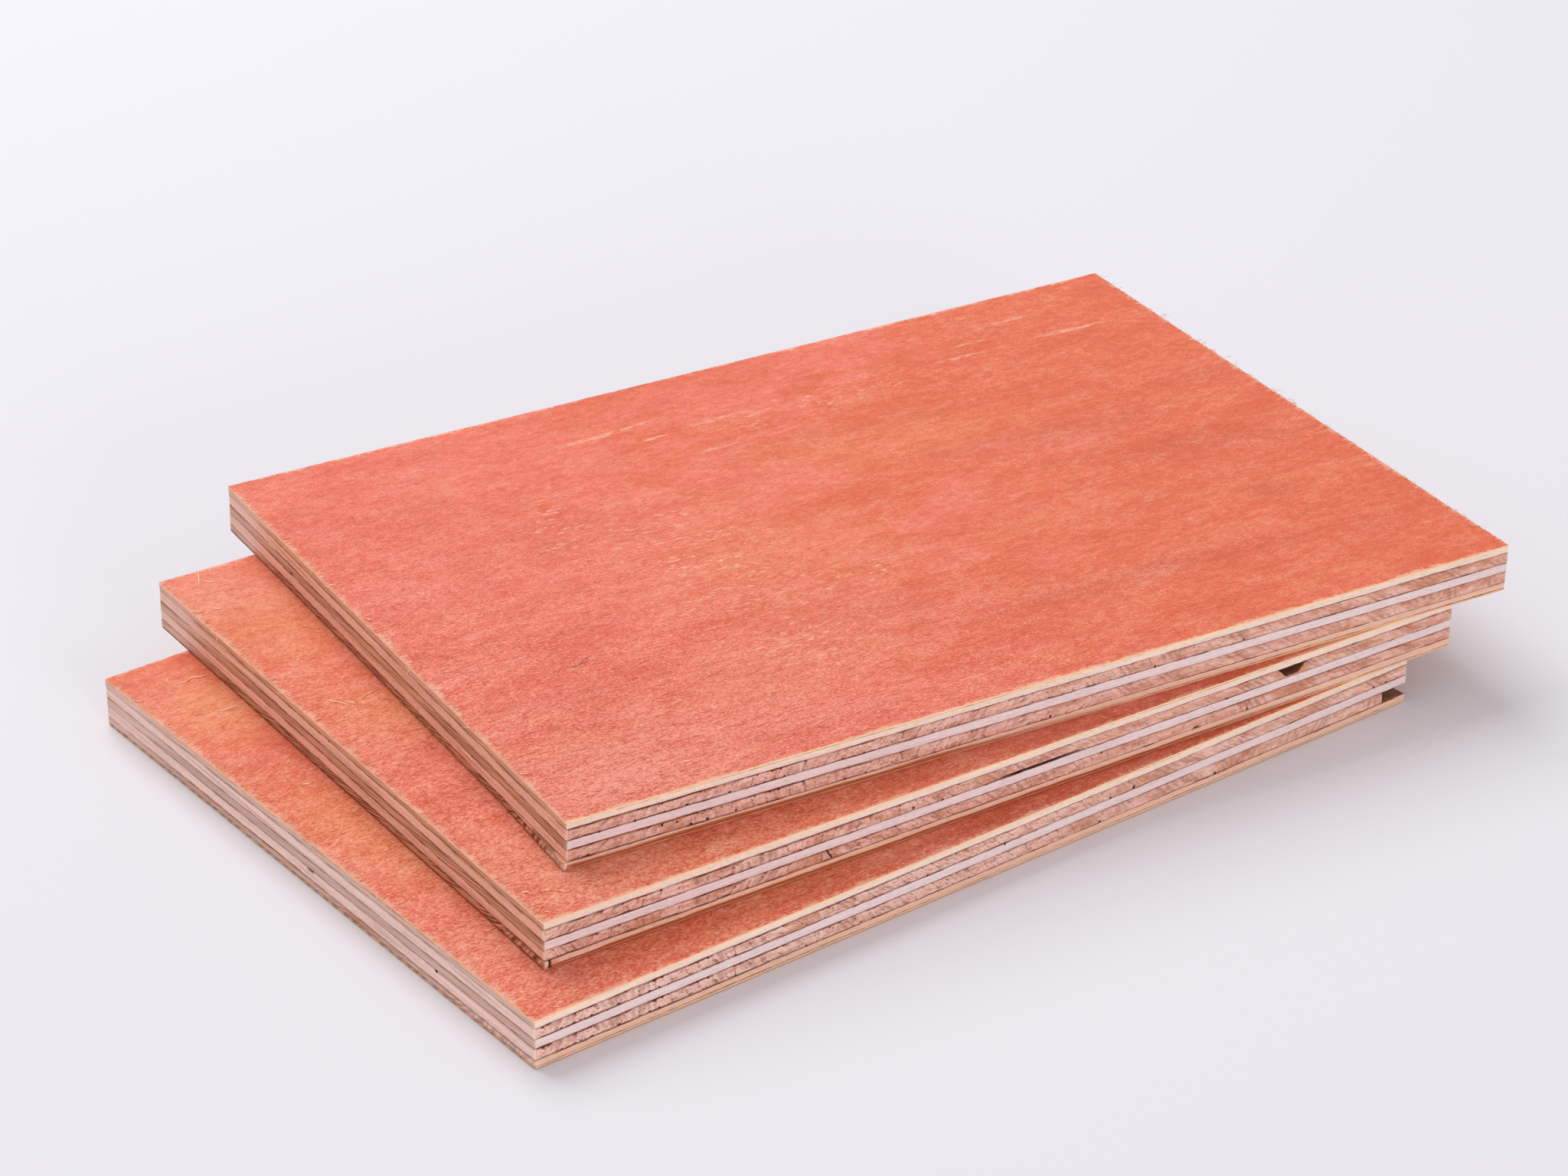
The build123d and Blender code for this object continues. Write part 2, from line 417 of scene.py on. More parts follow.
# Fine stretches: half their length at a dot and a crack, how far they go past a pocket or the hole,
# and the half length from which a mark gets none
FINE_HALVES = {"dot": 1.2, "crack": 2.2}
POCKET_SPARE, HOLE_SPARE = 0.5, 0.4
LONGEST_HALF = 8.0

# Rows of vertices: their heights beside a joint in a ply, and the lower and upper one in a veneer
RIM_HEIGHTS = (0.0, 0.1, 0.26)
VENEER_RIMS = (0.12, 0.14)

# How far a joint's groove reaches, and how much of it two layers take at their lower and upper rim
GROOVE_REACH = 0.2
GROOVE_SHARES = {"face_veneer": (0.1, 0.5), "upper_long_ply": (1.0, 0.1)}

# How far corners are worn, how much a sheet's rims are eased, and how deep and long a dot is
WORN_REACH = 1.6
RIM_EASE = 0.03
DOT_DEPTH, DOT_STRETCH = 0.15, 1.15

# A distance that puts a column out of reach of a mark
FAR_AWAY = 1000.0


def steps_on_side(run, corner, step, fine):
    """Distances along a side between its rounded corners, closer together on fine stretches."""
    even = np.linspace(corner, run - corner, math.ceil((run - 2 * corner) / step) + 1)
    close = [np.arange(max(a, corner), min(b, run - corner), FINE_STEP) for a, b in fine]
    gone = np.unique(np.concatenate([even, *close]).round(4))
    apart = np.concatenate([[True], np.diff(gone) > 0.45 * FINE_STEP])
    return gone[apart]


class SawnEdge:
    """The sawn edge of one layer: columns of vertices round the sheet, and rows up the layer."""

    def __init__(self, sheet, layer, sizes):
        self.sheet, self.layer, self.sizes = sheet, layer, sizes
        self.node = f"{sheet.name}_{layer}"
        self.low, self.high = sheet.layer(layer)
        self.thickness = self.high - self.low
        self.is_veneer = "veneer" in layer
        every = [(*group, *row) for group, rows in EDGE_MARKS[sheet.name].items() for row in rows]
        marks = [mark for mark in every if self.carries(mark)]
        self.walk(marks)
        self.stack_rows()
        self.saw()
        for kind, _, side, *details in marks:
            getattr(self, kind)(side, *details)
        if self.node == HOLE_NODE:
            self.open_hole()
        if self.node == BROKEN_NODE:
            self.break_corner()
        if self.node in TORN_NODES:
            self.tear_out()

    def carries(self, mark):
        """Whether a mark is on this layer: named for it, or at a height that it reaches."""
        kind, layer, _, *details = mark
        if layer:
            return layer == self.layer
        height, reach = details[1:3] if kind == "dot" else details[2:4]
        return self.low - reach < height < self.high + reach

    def fine_stretch(self, mark):
        """The stretch of the edge that needs more columns for a mark, if there is one."""
        kind, _, side, place, size, *_ = mark
        if kind == "knot":
            return None
        half = FINE_HALVES.get(kind, size / 2 + POCKET_SPARE)
        return (side, place - half, place + half) if half < LONGEST_HALF else None

    def walk(self, marks):
        """Columns anticlockwise from the front left corner: a side, a place, a point and a facing."""
        length, width = self.sheet.length, self.sheet.width
        corner = self.sizes.corner / MM
        fine = [f for f in map(self.fine_stretch, marks) if f]
        if self.node == HOLE_NODE:
            fine.append((FRONT, HOLE_LEFT - HOLE_SPARE, HOLE_RIGHT + HOLE_SPARE))
        if self.node == BROKEN_NODE:
            fine += [(FRONT, length - BROKEN_LENGTH, length), (RIGHT, 0, BROKEN_REACH)]
        if self.node in TORN_NODES:
            fine.append((LEFT, 0, TORN_LENGTH))
        rows = []
        for side in (FRONT, RIGHT, BACK, LEFT):
            along = np.array(TRAVELS[side], float)
            outward = np.array((along[1], -along[0]))
            start = np.array(CORNERS[side]) * (length / 2, width / 2)
            run = (length, width)[side % 2]
            forward = side in (FRONT, RIGHT)
            close = [(a, b) if forward else (run - b, run - a) for s, a, b in fine if s == side]
            for gone in steps_on_side(run, corner, self.sizes.column_step / MM, close):
                rows.append((side, gone, *(start + along * gone), *outward))
            middle = start + along * (run - corner) - outward * corner
            for angle in ARC_ANGLES:
                turn = math.radians(angle)
                facing = outward * math.cos(turn) + along * math.sin(turn)
                here = (side, run) if angle < 45 else ((side + 1) % 4, 0.0)
                rows.append((*here, *(middle + facing * corner), *facing))
        table = np.array(rows)
        self.side = table[:, 0].astype(int)
        self.gone = table[:, 1]
        self.points, self.facing = table[:, 2:4], table[:, 4:6]
        self.runs = np.where(self.side % 2 == 0, length, width)
        self.place = np.where(self.side < BACK, self.gone, self.runs - self.gone)
        steps = np.hypot(*(np.roll(self.points, -1, 0) - self.points).T)
        self.s = np.concatenate([[0.0], np.cumsum(steps)[:-1]])
        self.around = float(steps.sum())

    def stack_rows(self):
        """Heights of the rows above the layer's lower face, closer together beside the joints."""
        if self.is_veneer:
            lower, upper = VENEER_RIMS
            rows = np.array((0.0, lower, self.thickness - upper, self.thickness))
        else:
            rim = np.array(RIM_HEIGHTS)
            between = self.thickness - 2 * rim[-1]
            count = math.ceil(between / (self.sizes.row_step / MM))
            middle = rim[-1] + between * np.arange(1, count) / count
            rows = np.concatenate([rim, middle, self.thickness - rim[::-1]])
        columns = len(self.side)
        self.height = np.tile(rows, (columns, 1))
        self.out, self.brown, self.dark, self.worn = np.zeros((4, columns, len(rows)))

    def noise(self, word, cell_along, cell_up=None):
        """Ripples over this edge that belong to one purpose, the same at all heights without cell_up."""
        heights = self.height if cell_up else np.zeros(1)
        seed = seed_of(self.node, word)
        return ripple(seed, self.s[:, None], heights, cell_along, cell_up or 1.0, self.around)

    def saw(self):
        """Leave the layer a little proud or shy, rough from the saw and grooved at its joints."""
        sizes = self.sizes
        self.out += sizes.flush / MM * self.noise("flush", 55)
        self.out += 0.3 * sizes.flush / MM * self.noise("wave", 7, 1.5)
        self.out += sizes.saw_marks / MM * self.noise("saw", 0.9, 0.5)
        right = self.facing[:, :1].clip(0)
        self.out -= sizes.end_recess / MM * right * (0.5 + 0.5 * self.noise("right end", 34))
        depth = sizes.groove / MM * (0.7 + 0.5 * self.noise("groove", 3.5))
        below, above = GROOVE_SHARES.get(self.layer, (1.0, 1.0))
        self.out -= depth * below * (1 - self.height / GROOVE_REACH).clip(0)
        self.out -= depth * above * (1 - (self.thickness - self.height) / GROOVE_REACH).clip(0)
        corner = np.minimum(self.gone, self.runs - self.gone)[:, None]
        self.worn += (1 - corner / WORN_REACH).clip(0) * (0.7 + 0.3 * self.noise("worn", 0.8, 0.6))
        if self.layer == "face_veneer":
            self.height[:, -1] -= RIM_EASE
        if self.layer == "back_veneer":
            self.height[:, 0] += RIM_EASE

    def past(self, side, place):
        """How far each column lies past a place on one side, and far away on the other sides."""
        return np.where(self.side == side, self.place - place, FAR_AWAY)[:, None]

    def knot(self, side, start, end):
        """Brown wood between two places."""
        away = np.abs(self.past(side, (start + end) / 2))
        half = (end - start) / 2
        shape = 1 - ease(away + 3.0 * self.noise("knot", 3.0, 1.2), half * 0.1, half * 1.3)
        self.brown = np.maximum(self.brown, shape)

    def dot(self, side, place, height, radius):
        """A small burnt or resinous dot, soft from a third of its radius outward."""
        rise = self.low + self.height - height
        away = np.hypot(self.past(side, place) / DOT_STRETCH, rise)
        shape = 1 - ease(away, 0.32 * radius, 0.8 * radius)
        self.dark = np.maximum(self.dark, shape)
        self.out -= DOT_DEPTH * shape

    def pocket(self, side, place, length, height, half, depth):
        """An open joint, shaped like a lens."""
        across = self.past(side, place) / (length / 2)
        rise = (self.low + self.height - height) / half
        shape = (1.6 * (1 - across**2 - rise**2)).clip(0, 1)
        # Painted shade inside the open joint, on top of its recess
        self.dark = np.maximum(self.dark, shape)
        self.out -= depth * shape

    def crack(self, side, place, lean, width, depth):
        """A crack from the lower to the upper face of the layer."""
        shift = lean * (self.height - self.thickness / 2) + 0.12 * self.noise("crack", 2, 0.7)
        past = self.past(side, place) - shift
        shape = 1 - ease(np.abs(past), width * 0.35, width * 0.8)
        beside = 0.8 * (1 - ease(np.abs(past - 1.0), 0.6, 1.6))
        # Painted shade inside the crack, on top of its recess
        self.dark = np.maximum(self.dark, shape)
        self.brown = np.maximum(self.brown, beside)
        self.out -= depth * shape

    def open_hole(self):
        """Push the wood back where the ply has a hole."""
        on_front = self.side == FRONT
        margin = 0.05
        inside = on_front & (self.place > HOLE_LEFT + margin) & (self.place < HOLE_RIGHT - margin)
        place = self.place[inside]
        share = np.minimum((place - HOLE_LEFT) / HOLE_LEFT_SLOPE, (HOLE_RIGHT - place) / HOLE_RIGHT_SLOPE)
        floor = self.thickness - HOLE_HEIGHT * np.clip(share, 0, 1)
        floor = (floor + 0.08 * self.noise("hole", 0.9)[inside, 0])[:, None].clip(0, self.thickness)
        rows = self.height.shape[1]
        lip = rows // 2
        below = self.height[inside][:, :lip + 1]
        self.height[inside, :lip + 1] = below / below[:, -1:] * floor
        rise = np.linspace(0, 1, rows - lip - 2)[None]
        self.height[inside, lip + 1] = floor[:, 0]
        self.height[inside, lip + 2:] = floor + (self.thickness - floor) * rise
        self.out[inside, lip + 1] = -LIP_DEPTH
        self.out[inside, lip + 2:] = -HOLE_REACH
        self.dark[inside, lip + 1:] = HOLE_SHADE
        self.dark[inside, lip] = LIP_SHADE
        self.brown[inside, lip:] = HOLE_BROWN
        beside = 0.5 * (1 - ease(np.abs(self.place[on_front, None] - BROWN_MIDDLE), *BROWN_REACH))
        self.brown[on_front] = np.maximum(self.brown[on_front], beside)

    def break_corner(self):
        """Break the front right corner off along a ragged line."""
        length, width = self.sheet.length, self.sheet.width
        front = (self.side == FRONT) & (self.gone > length - BROKEN_LENGTH)
        right = (self.side == RIGHT) & (self.gone < BROKEN_REACH)
        gone = np.where(front, self.gone - (length - BROKEN_LENGTH), BROKEN_LENGTH + self.gone)
        broken = front | right
        share = (gone / (BROKEN_LENGTH + BROKEN_REACH))[broken, None]
        first = np.array((length / 2 - BROKEN_LENGTH, -width / 2))
        across = np.array((BROKEN_LENGTH, BROKEN_REACH))
        self.points[broken] = first + across * share
        self.facing[broken] = np.array((across[1], -across[0])) / np.hypot(*across)
        inner = (np.minimum(share, 1 - share) * 8).clip(0, 1)
        ragged = 0.7 + 0.55 * self.noise("break", 1.3, 0.7) + 0.3 * self.noise("splinter", 0.45, 1.6)
        self.out[broken] = -ragged[broken] * inner - 0.05
        tone = (0.75 + 0.35 * self.noise("break tone", 1.6, 0.8))[broken].clip(0, 1) * inner.clip(0.3, 1)
        # The brown is the torn wood's own; the dark is painted shade on the broken wall
        self.brown[broken] = 1.5
        self.dark[broken] = np.maximum(self.dark[broken], 0.26 + tone * 0.4)

    def tear_out(self):
        """Let torn fibres stand out of the left edge beside the front corner."""
        left = np.where(self.side == LEFT, 1 - self.place / TORN_LENGTH, 0)
        front = np.where(self.side == FRONT, 1 - self.gone / TORN_FRONT, 0)
        share = np.maximum(left, front).clip(0, 1)[:, None]
        ragged = 0.78 + 0.18 * self.noise("torn", 2.2, 0.7) + 0.1 * self.noise("frayed", 0.7, 0.4)
        self.torn = TORN_REACH * share * ragged
        self.worn = np.maximum(self.worn, 0.7 * ease(share, 0.55, 0.95))

    def leans(self):
        """How far lines on each column lean, in the direction of the walk."""
        lean = np.zeros(len(self.side))
        cross = "cross" in self.layer
        for side in (FRONT, RIGHT, BACK, LEFT):
            here = self.side == side
            given = LEANS.get((self.sheet.name, self.layer, side))
            if given:
                lean[here] = np.interp(self.place[here], *zip(*given))
            elif cross and side == BACK:
                lean[here] = CHECK_LEAN * self.noise("lean", 30)[here, 0]
            elif not cross and side in (LEFT, RIGHT):
                tilt = RING_LEANS.get(self.layer, 0) * (1 if side == LEFT else RIGHT_EDGE_SHARE)
                lean[here] = tilt * (1 + 0.25 * self.noise("lean", 40)[here, 0])
        return np.where(self.side < BACK, lean, -lean)

    def plan(self):
        """Points of the whole grid in plan."""
        grid = self.points[:, None] + self.facing[:, None] * self.out[..., None]
        if self.node in TORN_NODES:
            grid[..., 0] -= self.torn
        return grid


# The order of a piece's finishes, and the angle past which its shading breaks
LONG_EDGE, SHORT_EDGE, UPPER_FACE, LOWER_FACE = range(4)
SHARP_ANGLE = 40.0

# Points inside a face: their distance on a hidden one, how far they keep from an open and a hidden
# rim, the hole and the broken corner, and how close together two of them count as one
HIDDEN_STEP = 9.0
OPEN_INSET, HIDDEN_INSET = 1.3, 3.0
HOLE_SIDE_INSET, HOLE_END_INSET, BROKEN_INSET = 1.0, 1.5, 4.0
SAME_POINT = 1e-5

# A piece's colour map: the share of its height that the edge takes, as runs one above the other, with
# room between them, where the runs lie, and the boxes of the lower and upper face
EDGE_SHARE = {"veneer": 0.12, "ply": 0.62}
RUN_ROOM = 0.3
RUN_LEFT, RUN_WIDTH, FIRST_RUN = 0.01, 0.97, 0.002
GAP_IN_MAP = 3 / 1024
FACE_ROOM = 4.0
CAP_BOXES = {
    "ply": ((0.01, 0.66, 0.485, 0.99), (0.515, 0.66, 0.99, 0.99)),
    "face_veneer": ((0.01, 0.135, 0.3, 0.27), (0.01, 0.285, 0.99, 0.99)),
    "back_veneer": ((0.01, 0.285, 0.99, 0.99), (0.01, 0.135, 0.3, 0.27)),
}


class LayerMesh:
    """The mesh of one layer: its sawn edge and its two faces, with what the finishes read."""

    def __init__(self, edge):
        self.edge = edge
        self.columns, self.rows = edge.out.shape
        grid = np.concatenate([edge.plan(), (edge.low + edge.height)[..., None]], -1)
        self.points = [grid.reshape(-1, 3)]
        self.total = self.columns * self.rows
        quads, sawn, marks, edge_map = self.edge_faces()
        lower = [face[::-1] for face in self.cap(0, edge.layer == "back_veneer")]
        upper = self.cap(self.rows - 1, edge.layer == "face_veneer")
        self.mesh = bpy.data.meshes.new(f"{edge.node}_wood")
        points = np.concatenate(self.points)
        self.mesh.from_pydata((points * MM).tolist(), [], quads.tolist() + lower + upper)
        maps = [self.cap_map(points, faces, number) for number, faces in enumerate((lower, upper))]
        layer = self.mesh.uv_layers.new(name="OFBake")
        layer.data.foreach_set("uv", np.concatenate([edge_map, *maps]).astype(np.float32).ravel())
        blank = np.zeros((3 * (len(lower) + len(upper)), 3))
        self.keep("sawn", np.concatenate([sawn, blank]))
        self.keep("marks", np.concatenate([marks, blank]))
        short = np.abs(edge.facing[:, 0]) > np.abs(edge.facing[:, 1])
        kinds = [
            np.repeat(np.where(short, SHORT_EDGE, LONG_EDGE), self.rows - 1),
            np.full(len(lower), LOWER_FACE), np.full(len(upper), UPPER_FACE),
        ]
        self.mesh.polygons.foreach_set("material_index", np.concatenate(kinds).astype(np.int32))
        self.mesh.shade_smooth()
        self.mesh.set_sharp_from_angle(angle=math.radians(SHARP_ANGLE))
        self.mesh.update()

    def keep(self, name, values):
        """Keep three numbers for each corner of each face."""
        attribute = self.mesh.attributes.new(name, "FLOAT_VECTOR", "CORNER")
        attribute.data.foreach_set("vector", values.astype(np.float32).ravel())

    def edge_faces(self):
        """Faces of the edge, and the coordinates, marks and map places of their corners."""
        edge, n, m = self.edge, self.columns, self.rows
        i, j = (a.ravel() for a in np.meshgrid(np.arange(n), np.arange(m - 1), indexing="ij"))
        following = (i + 1) % n
        quads = np.stack([i * m + j, following * m + j, following * m + j + 1, i * m + j + 1], 1)
        columns = np.stack([i, following, following, i], 1)
        rows = np.stack([j, j, j + 1, j + 1], 1)
        ahead = np.append(edge.s, edge.around)
        s = np.stack([ahead[i], ahead[i + 1], ahead[i + 1], ahead[i]], 1)
        height = edge.height[columns, rows]
        along = s - edge.leans()[columns] * (height - edge.thickness / 2)
        sawn = np.stack([along, height, edge.thickness - height], -1).reshape(-1, 3)
        marks = np.stack([v[columns, rows] for v in (edge.brown, edge.dark, edge.worn)], -1)
        share = EDGE_SHARE["veneer" if edge.is_veneer else "ply"]
        runs = int(math.sqrt(share * edge.around / (edge.thickness + RUN_ROOM)))
        run_length = edge.around / runs
        run = np.minimum((ahead[i] / run_length).astype(int), runs - 1)[:, None]
        u = RUN_LEFT + RUN_WIDTH * (s - run * run_length) / run_length
        tall = share / runs
        v = FIRST_RUN + run * tall + GAP_IN_MAP / 2 + height / edge.thickness * (tall - GAP_IN_MAP)
        return quads, sawn, marks.reshape(-1, 3), np.stack([u, v], -1).reshape(-1, 2)

    def cap(self, row, open_face):
        """Triangles that close the rim at one row, over a grid of points that is fine on an open face."""
        edge = self.edge
        rim_index = np.arange(self.columns) * self.rows + row
        rim = self.points[0][rim_index]
        step = edge.sizes.face_step / MM if open_face else HIDDEN_STEP
        inset = OPEN_INSET if open_face else HIDDEN_INSET
        half = np.array((edge.sheet.length, edge.sheet.width)) / 2 - inset
        xs, ys = (np.linspace(-h, h, round(2 * h / step) + 1) for h in half)
        inner = np.stack(np.meshgrid(xs, ys), -1).reshape(-1, 2)
        inner = inner[self.clear_of_cuts(inner)]
        level = edge.high if row else edge.low
        heights = np.full(len(inner), level)
        if open_face:
            dips = np.random.default_rng(seed_of(edge.node, "dips")).uniform(0, 1, len(inner))
            heights += (-1 if row else 1) * dips * edge.sizes.face_dip / MM
        flat = [Vector(p) for p in np.concatenate([rim[:, :2], inner])]
        found = geometry.delaunay_2d_cdt(flat, [], [list(range(len(rim)))], 1, SAME_POINT)
        points, _, triangles, sources = found[:4]
        levels = np.concatenate([rim[:, 2], heights])
        index, extra = [], []
        for point, source in zip(points, sources):
            if source and source[0] < len(rim):
                index.append(int(rim_index[source[0]]))
                continue
            index.append(self.total + len(extra))
            extra.append((point.x, point.y, levels[source[0]] if source else level))
        if extra:
            self.points.append(np.array(extra))
            self.total += len(extra)
        return [[index[k] for k in triangle] for triangle in triangles]

    def clear_of_cuts(self, points):
        """Which points of a cap lie in the wood, away from a hole or a broken corner."""
        node, sheet = self.edge.node, self.edge.sheet
        x, y = points[:, 0] + sheet.length / 2, points[:, 1] + sheet.width / 2
        if node == HOLE_NODE:
            beside = (x < HOLE_LEFT - HOLE_SIDE_INSET) | (x > HOLE_RIGHT + HOLE_SIDE_INSET)
            return beside | (y > HOLE_REACH + HOLE_END_INSET)
        if node == BROKEN_NODE:
            across = (sheet.length - x) / (BROKEN_LENGTH + BROKEN_INSET)
            return across + y / (BROKEN_REACH + BROKEN_INSET) > 1
        return np.ones(len(points), bool)

    def cap_map(self, points, faces, number):
        """Map places of the corners of the lower face, number 0, or the upper face, number 1."""
        edge = self.edge
        kind = edge.layer if edge.is_veneer else "ply"
        left, bottom, right, top = CAP_BOXES[kind][number]
        corners = points[np.array(faces).ravel(), :2]
        spread = (edge.sheet.length + FACE_ROOM, edge.sheet.width + FACE_ROOM)
        share = (corners / spread + 0.5).clip(0, 1)
        return np.array((left, bottom)) + share * (right - left, top - bottom)


# Each pattern in a finish is drawn at another place of the noise, and these numbers spread them out
SEEDS = 97
SHIFTS = ((17.3, 97), (5.71, 89), (9.13, 83))
LINE_SHIFT = 7.7

# How much a surface shines, and a height that a stroke on a face never reaches
SHINE = 0.2
ANY_HEIGHT = 1e4

# The sockets for colours in a Mix node, which have the same names as the ones for numbers and vectors
MIX_SHARE, MIX_UNDER, MIX_OVER, MIX_RESULT = 0, 6, 7, 2


class Wire:
    """A socket that can be added, subtracted, multiplied and divided, which adds Math nodes."""

    def __init__(self, owner, socket):
        self.owner = owner
        self.socket = socket

    def __add__(self, other):
        return self.owner.maths("ADD", self, other)

    def __radd__(self, other):
        return self.owner.maths("ADD", other, self)

    def __sub__(self, other):
        return self.owner.maths("SUBTRACT", self, other)

    def __rsub__(self, other):
        return self.owner.maths("SUBTRACT", other, self)

    def __mul__(self, other):
        return self.owner.maths("MULTIPLY", self, other)

    def __rmul__(self, other):
        return self.owner.maths("MULTIPLY", other, self)

    def __truediv__(self, other):
        return self.owner.maths("DIVIDE", self, other)


class NodeTree:
    """The nodes of a material or a world."""

    def __init__(self, tree):
        self.tree = tree
        tree.nodes.clear()

    def feed(self, socket, value):
        """Link a wire to a socket, or write a value in it."""
        if isinstance(value, Wire):
            self.tree.links.new(value.socket, socket)
        elif socket.type == "RGBA":
            socket.default_value = (*value[:3], 1.0)
        else:
            socket.default_value = value

    def node(self, kind, settings=None, sockets=None, output=0):
        """Add a node of any type: its settings first, then its sockets' values or links."""
        made = self.tree.nodes.new(kind)
        for name, value in (settings or {}).items():
            setattr(made, name, value)
        for key, value in (sockets or {}).items():
            self.feed(made.inputs[key], value)
        return Wire(self, made.outputs[output]) if len(made.outputs) else None

    def maths(self, operation, *values):
        """A Math node."""
        return self.node("ShaderNodeMath", {"operation": operation}, dict(enumerate(values)))


class Finish(NodeTree):
    """One material, built up from shader nodes. Its patterns are placed and sized in millimetres."""

    def __init__(self, name, roughness=0.65):
        self.material = bpy.data.materials.new(name)
        self.material.use_nodes = True
        super().__init__(self.material.node_tree)
        self.seed = seed_of(name) % SEEDS
        sockets = {"Roughness": roughness, "Specular IOR Level": SHINE}
        surface = self.node("ShaderNodeBsdfPrincipled", None, sockets)
        self.shader = surface.socket.node
        self.node("ShaderNodeOutputMaterial", None, {"Surface": surface})

    def vector(self, operation, *values, output=0):
        """A Vector Math node."""
        return self.node("ShaderNodeVectorMath", {"operation": operation}, dict(enumerate(values)), output)

    def scaled(self, vector, factor):
        """A colour or vector times a number."""
        return self.node("ShaderNodeVectorMath", {"operation": "SCALE"}, {0: vector, "Scale": factor})

    def smooth(self, value, start, end):
        """0 at start and 1 at end, smooth between."""
        if start > end:
            return 1 - self.smooth(value, end, start)
        settings = {"interpolation_type": "SMOOTHSTEP"}
        sockets = {"Value": value, "From Min": start, "From Max": end, "To Min": 0.0, "To Max": 1.0}
        return self.node("ShaderNodeMapRange", settings, sockets)

    def mix(self, share, under, over):
        """The first colour where share is 0 and the second where it is 1."""
        settings = {"data_type": "RGBA", "clamp_factor": True}
        sockets = {MIX_SHARE: share, MIX_UNDER: under, MIX_OVER: over}
        return self.node("ShaderNodeMix", settings, sockets, MIX_RESULT)

    def parts(self, vector):
        """The three numbers in a vector."""
        x = self.node("ShaderNodeSeparateXYZ", None, {0: vector})
        others = x.socket.node.outputs[1:]
        return x, *(Wire(self, other) for other in others)

    def joined(self, x, y, z=0.0):
        """A vector of three numbers."""
        return self.node("ShaderNodeCombineXYZ", None, {0: x, 1: y, 2: z})

    def kept(self, name):
        """The three numbers that the mesh keeps under a name, one at a time."""
        return self.parts(self.node("ShaderNodeAttribute", {"attribute_name": name}, None, "Vector"))

    def place(self):
        """The point in the sheet's own frame, in millimetres."""
        return self.scaled(self.node("ShaderNodeTexCoord", None, None, "Object"), 1 / MM)

    def noise(self, place, cells, detail=2.0, rough=0.5, output=0):
        """Noise from about 0.2 to 0.8 whose blots are as large as cells."""
        self.seed += 1
        shift = tuple(self.seed * step % span for step, span in SHIFTS)
        scale = tuple(1 / c for c in cells)
        moved = self.node("ShaderNodeMapping", None, {"Vector": place, "Location": shift, "Scale": scale})
        sockets = {"Vector": moved, "Scale": 1.0, "Detail": detail, "Roughness": rough}
        return self.node("ShaderNodeTexNoise", None, sockets, output)

    def blots(self, place, cells, start, end, detail=1.0, rough=0.5):
        """Noise with soft edges: 0 where it is at start and 1 where it is at end."""
        return self.smooth(self.noise(place, cells, detail, rough), start, end)

    def wander(self, place, cells, amount):
        """The place, moved about by up to half the amount."""
        drift = self.noise(place, cells, 1.0, output=1)
        centred = self.vector("SUBTRACT", drift, (0.5, 0.5, 0.5))
        return self.vector("ADD", place, self.scaled(centred, amount))

    def stroke(self, place, x, y, half_length, half_width, turn, soft=0.3):
        """1 inside a soft ellipse and 0 outside it."""
        sockets = {
            "Vector": place, "Location": (x, y, 0), "Rotation": (0, 0, math.radians(turn)),
            "Scale": (half_length, half_width, ANY_HEIGHT),
        }
        inside = self.node("ShaderNodeMapping", {"vector_type": "TEXTURE"}, sockets)
        return self.smooth(self.vector("LENGTH", inside, output=1), 1.0 + soft / 2, 1.0 - soft)

    def lines(self, along, spacing, thickness):
        """Thin lines across a distance, at uneven spacing."""
        self.seed += 1
        sockets = {"W": along / spacing + self.seed * LINE_SHIFT, "Scale": 1.0}
        settings = {"voronoi_dimensions": "1D", "feature": "DISTANCE_TO_EDGE"}
        away = self.node("ShaderNodeTexVoronoi", settings, sockets, "Distance")
        return self.smooth(away, thickness / spacing, 0.2 * thickness / spacing)

    def paint(self, colour, height=None, depth=0.0, roughness=None):
        """Feed the shader a colour, and bumps and a roughness where they are given."""
        self.feed(self.shader.inputs["Base Color"], colour)
        if roughness is not None:
            self.feed(self.shader.inputs["Roughness"], roughness)
        if height is not None:
            bump = self.node("ShaderNodeBump", None, {"Strength": 1.0, "Distance": depth, "Height": height})
            self.feed(self.shader.inputs["Normal"], bump)
        return self.material


# Half of a sheet's length and width
HALF_LENGTH, HALF_WIDTH = 125.0, 87.5

# The crack in the top sheet's face, as strokes like the ones above
FACE_CRACK = ((-92.5, -30, 5.6, 0.14, 2), (-89.6, -28.8, 2.4, 0.1, 24))


def stain_clouds(finish, sheet_name, colours, waved, x):
    """The stain's colour in large: its clouds, its figure along the grain and its strokes, among them
    painted shade and painted light.
    """
    top = sheet_name == "top_sheet"
    toward_right = 0.0021 if top else -0.0004
    warm = finish.smooth(finish.noise(waved, (85, 34, 1), 2.0) + x * toward_right, 0.38, 0.62)
    pink = finish.blots(waved, (50, 26, 1), 0.46, 0.7, 2.0)
    colour = finish.mix(warm, colours.salmon, colours.orange)
    colour = finish.mix(pink * (1 - warm) * 0.5, colour, colours.blush)
    figure = finish.blots(waved, (64, 6.5, 1), 0.44, 0.8, 2.0)
    colour = finish.mix(figure * 0.24, colour, colours.rust)
    lighter = finish.blots(waved, (44, 9, 1), 0.48, 0.78, 2.0)
    colour = finish.mix(lighter * 0.2, colour, colours.amber)
    for name, *shape, strength in FACE_STROKES[sheet_name]:
        share = finish.stroke(waved, *shape, soft=0.9) * strength
        colour = finish.mix(share, colour, getattr(colours, name))
    return finish.mix(0.04 if top else 0.1, colour, colours.bloom)


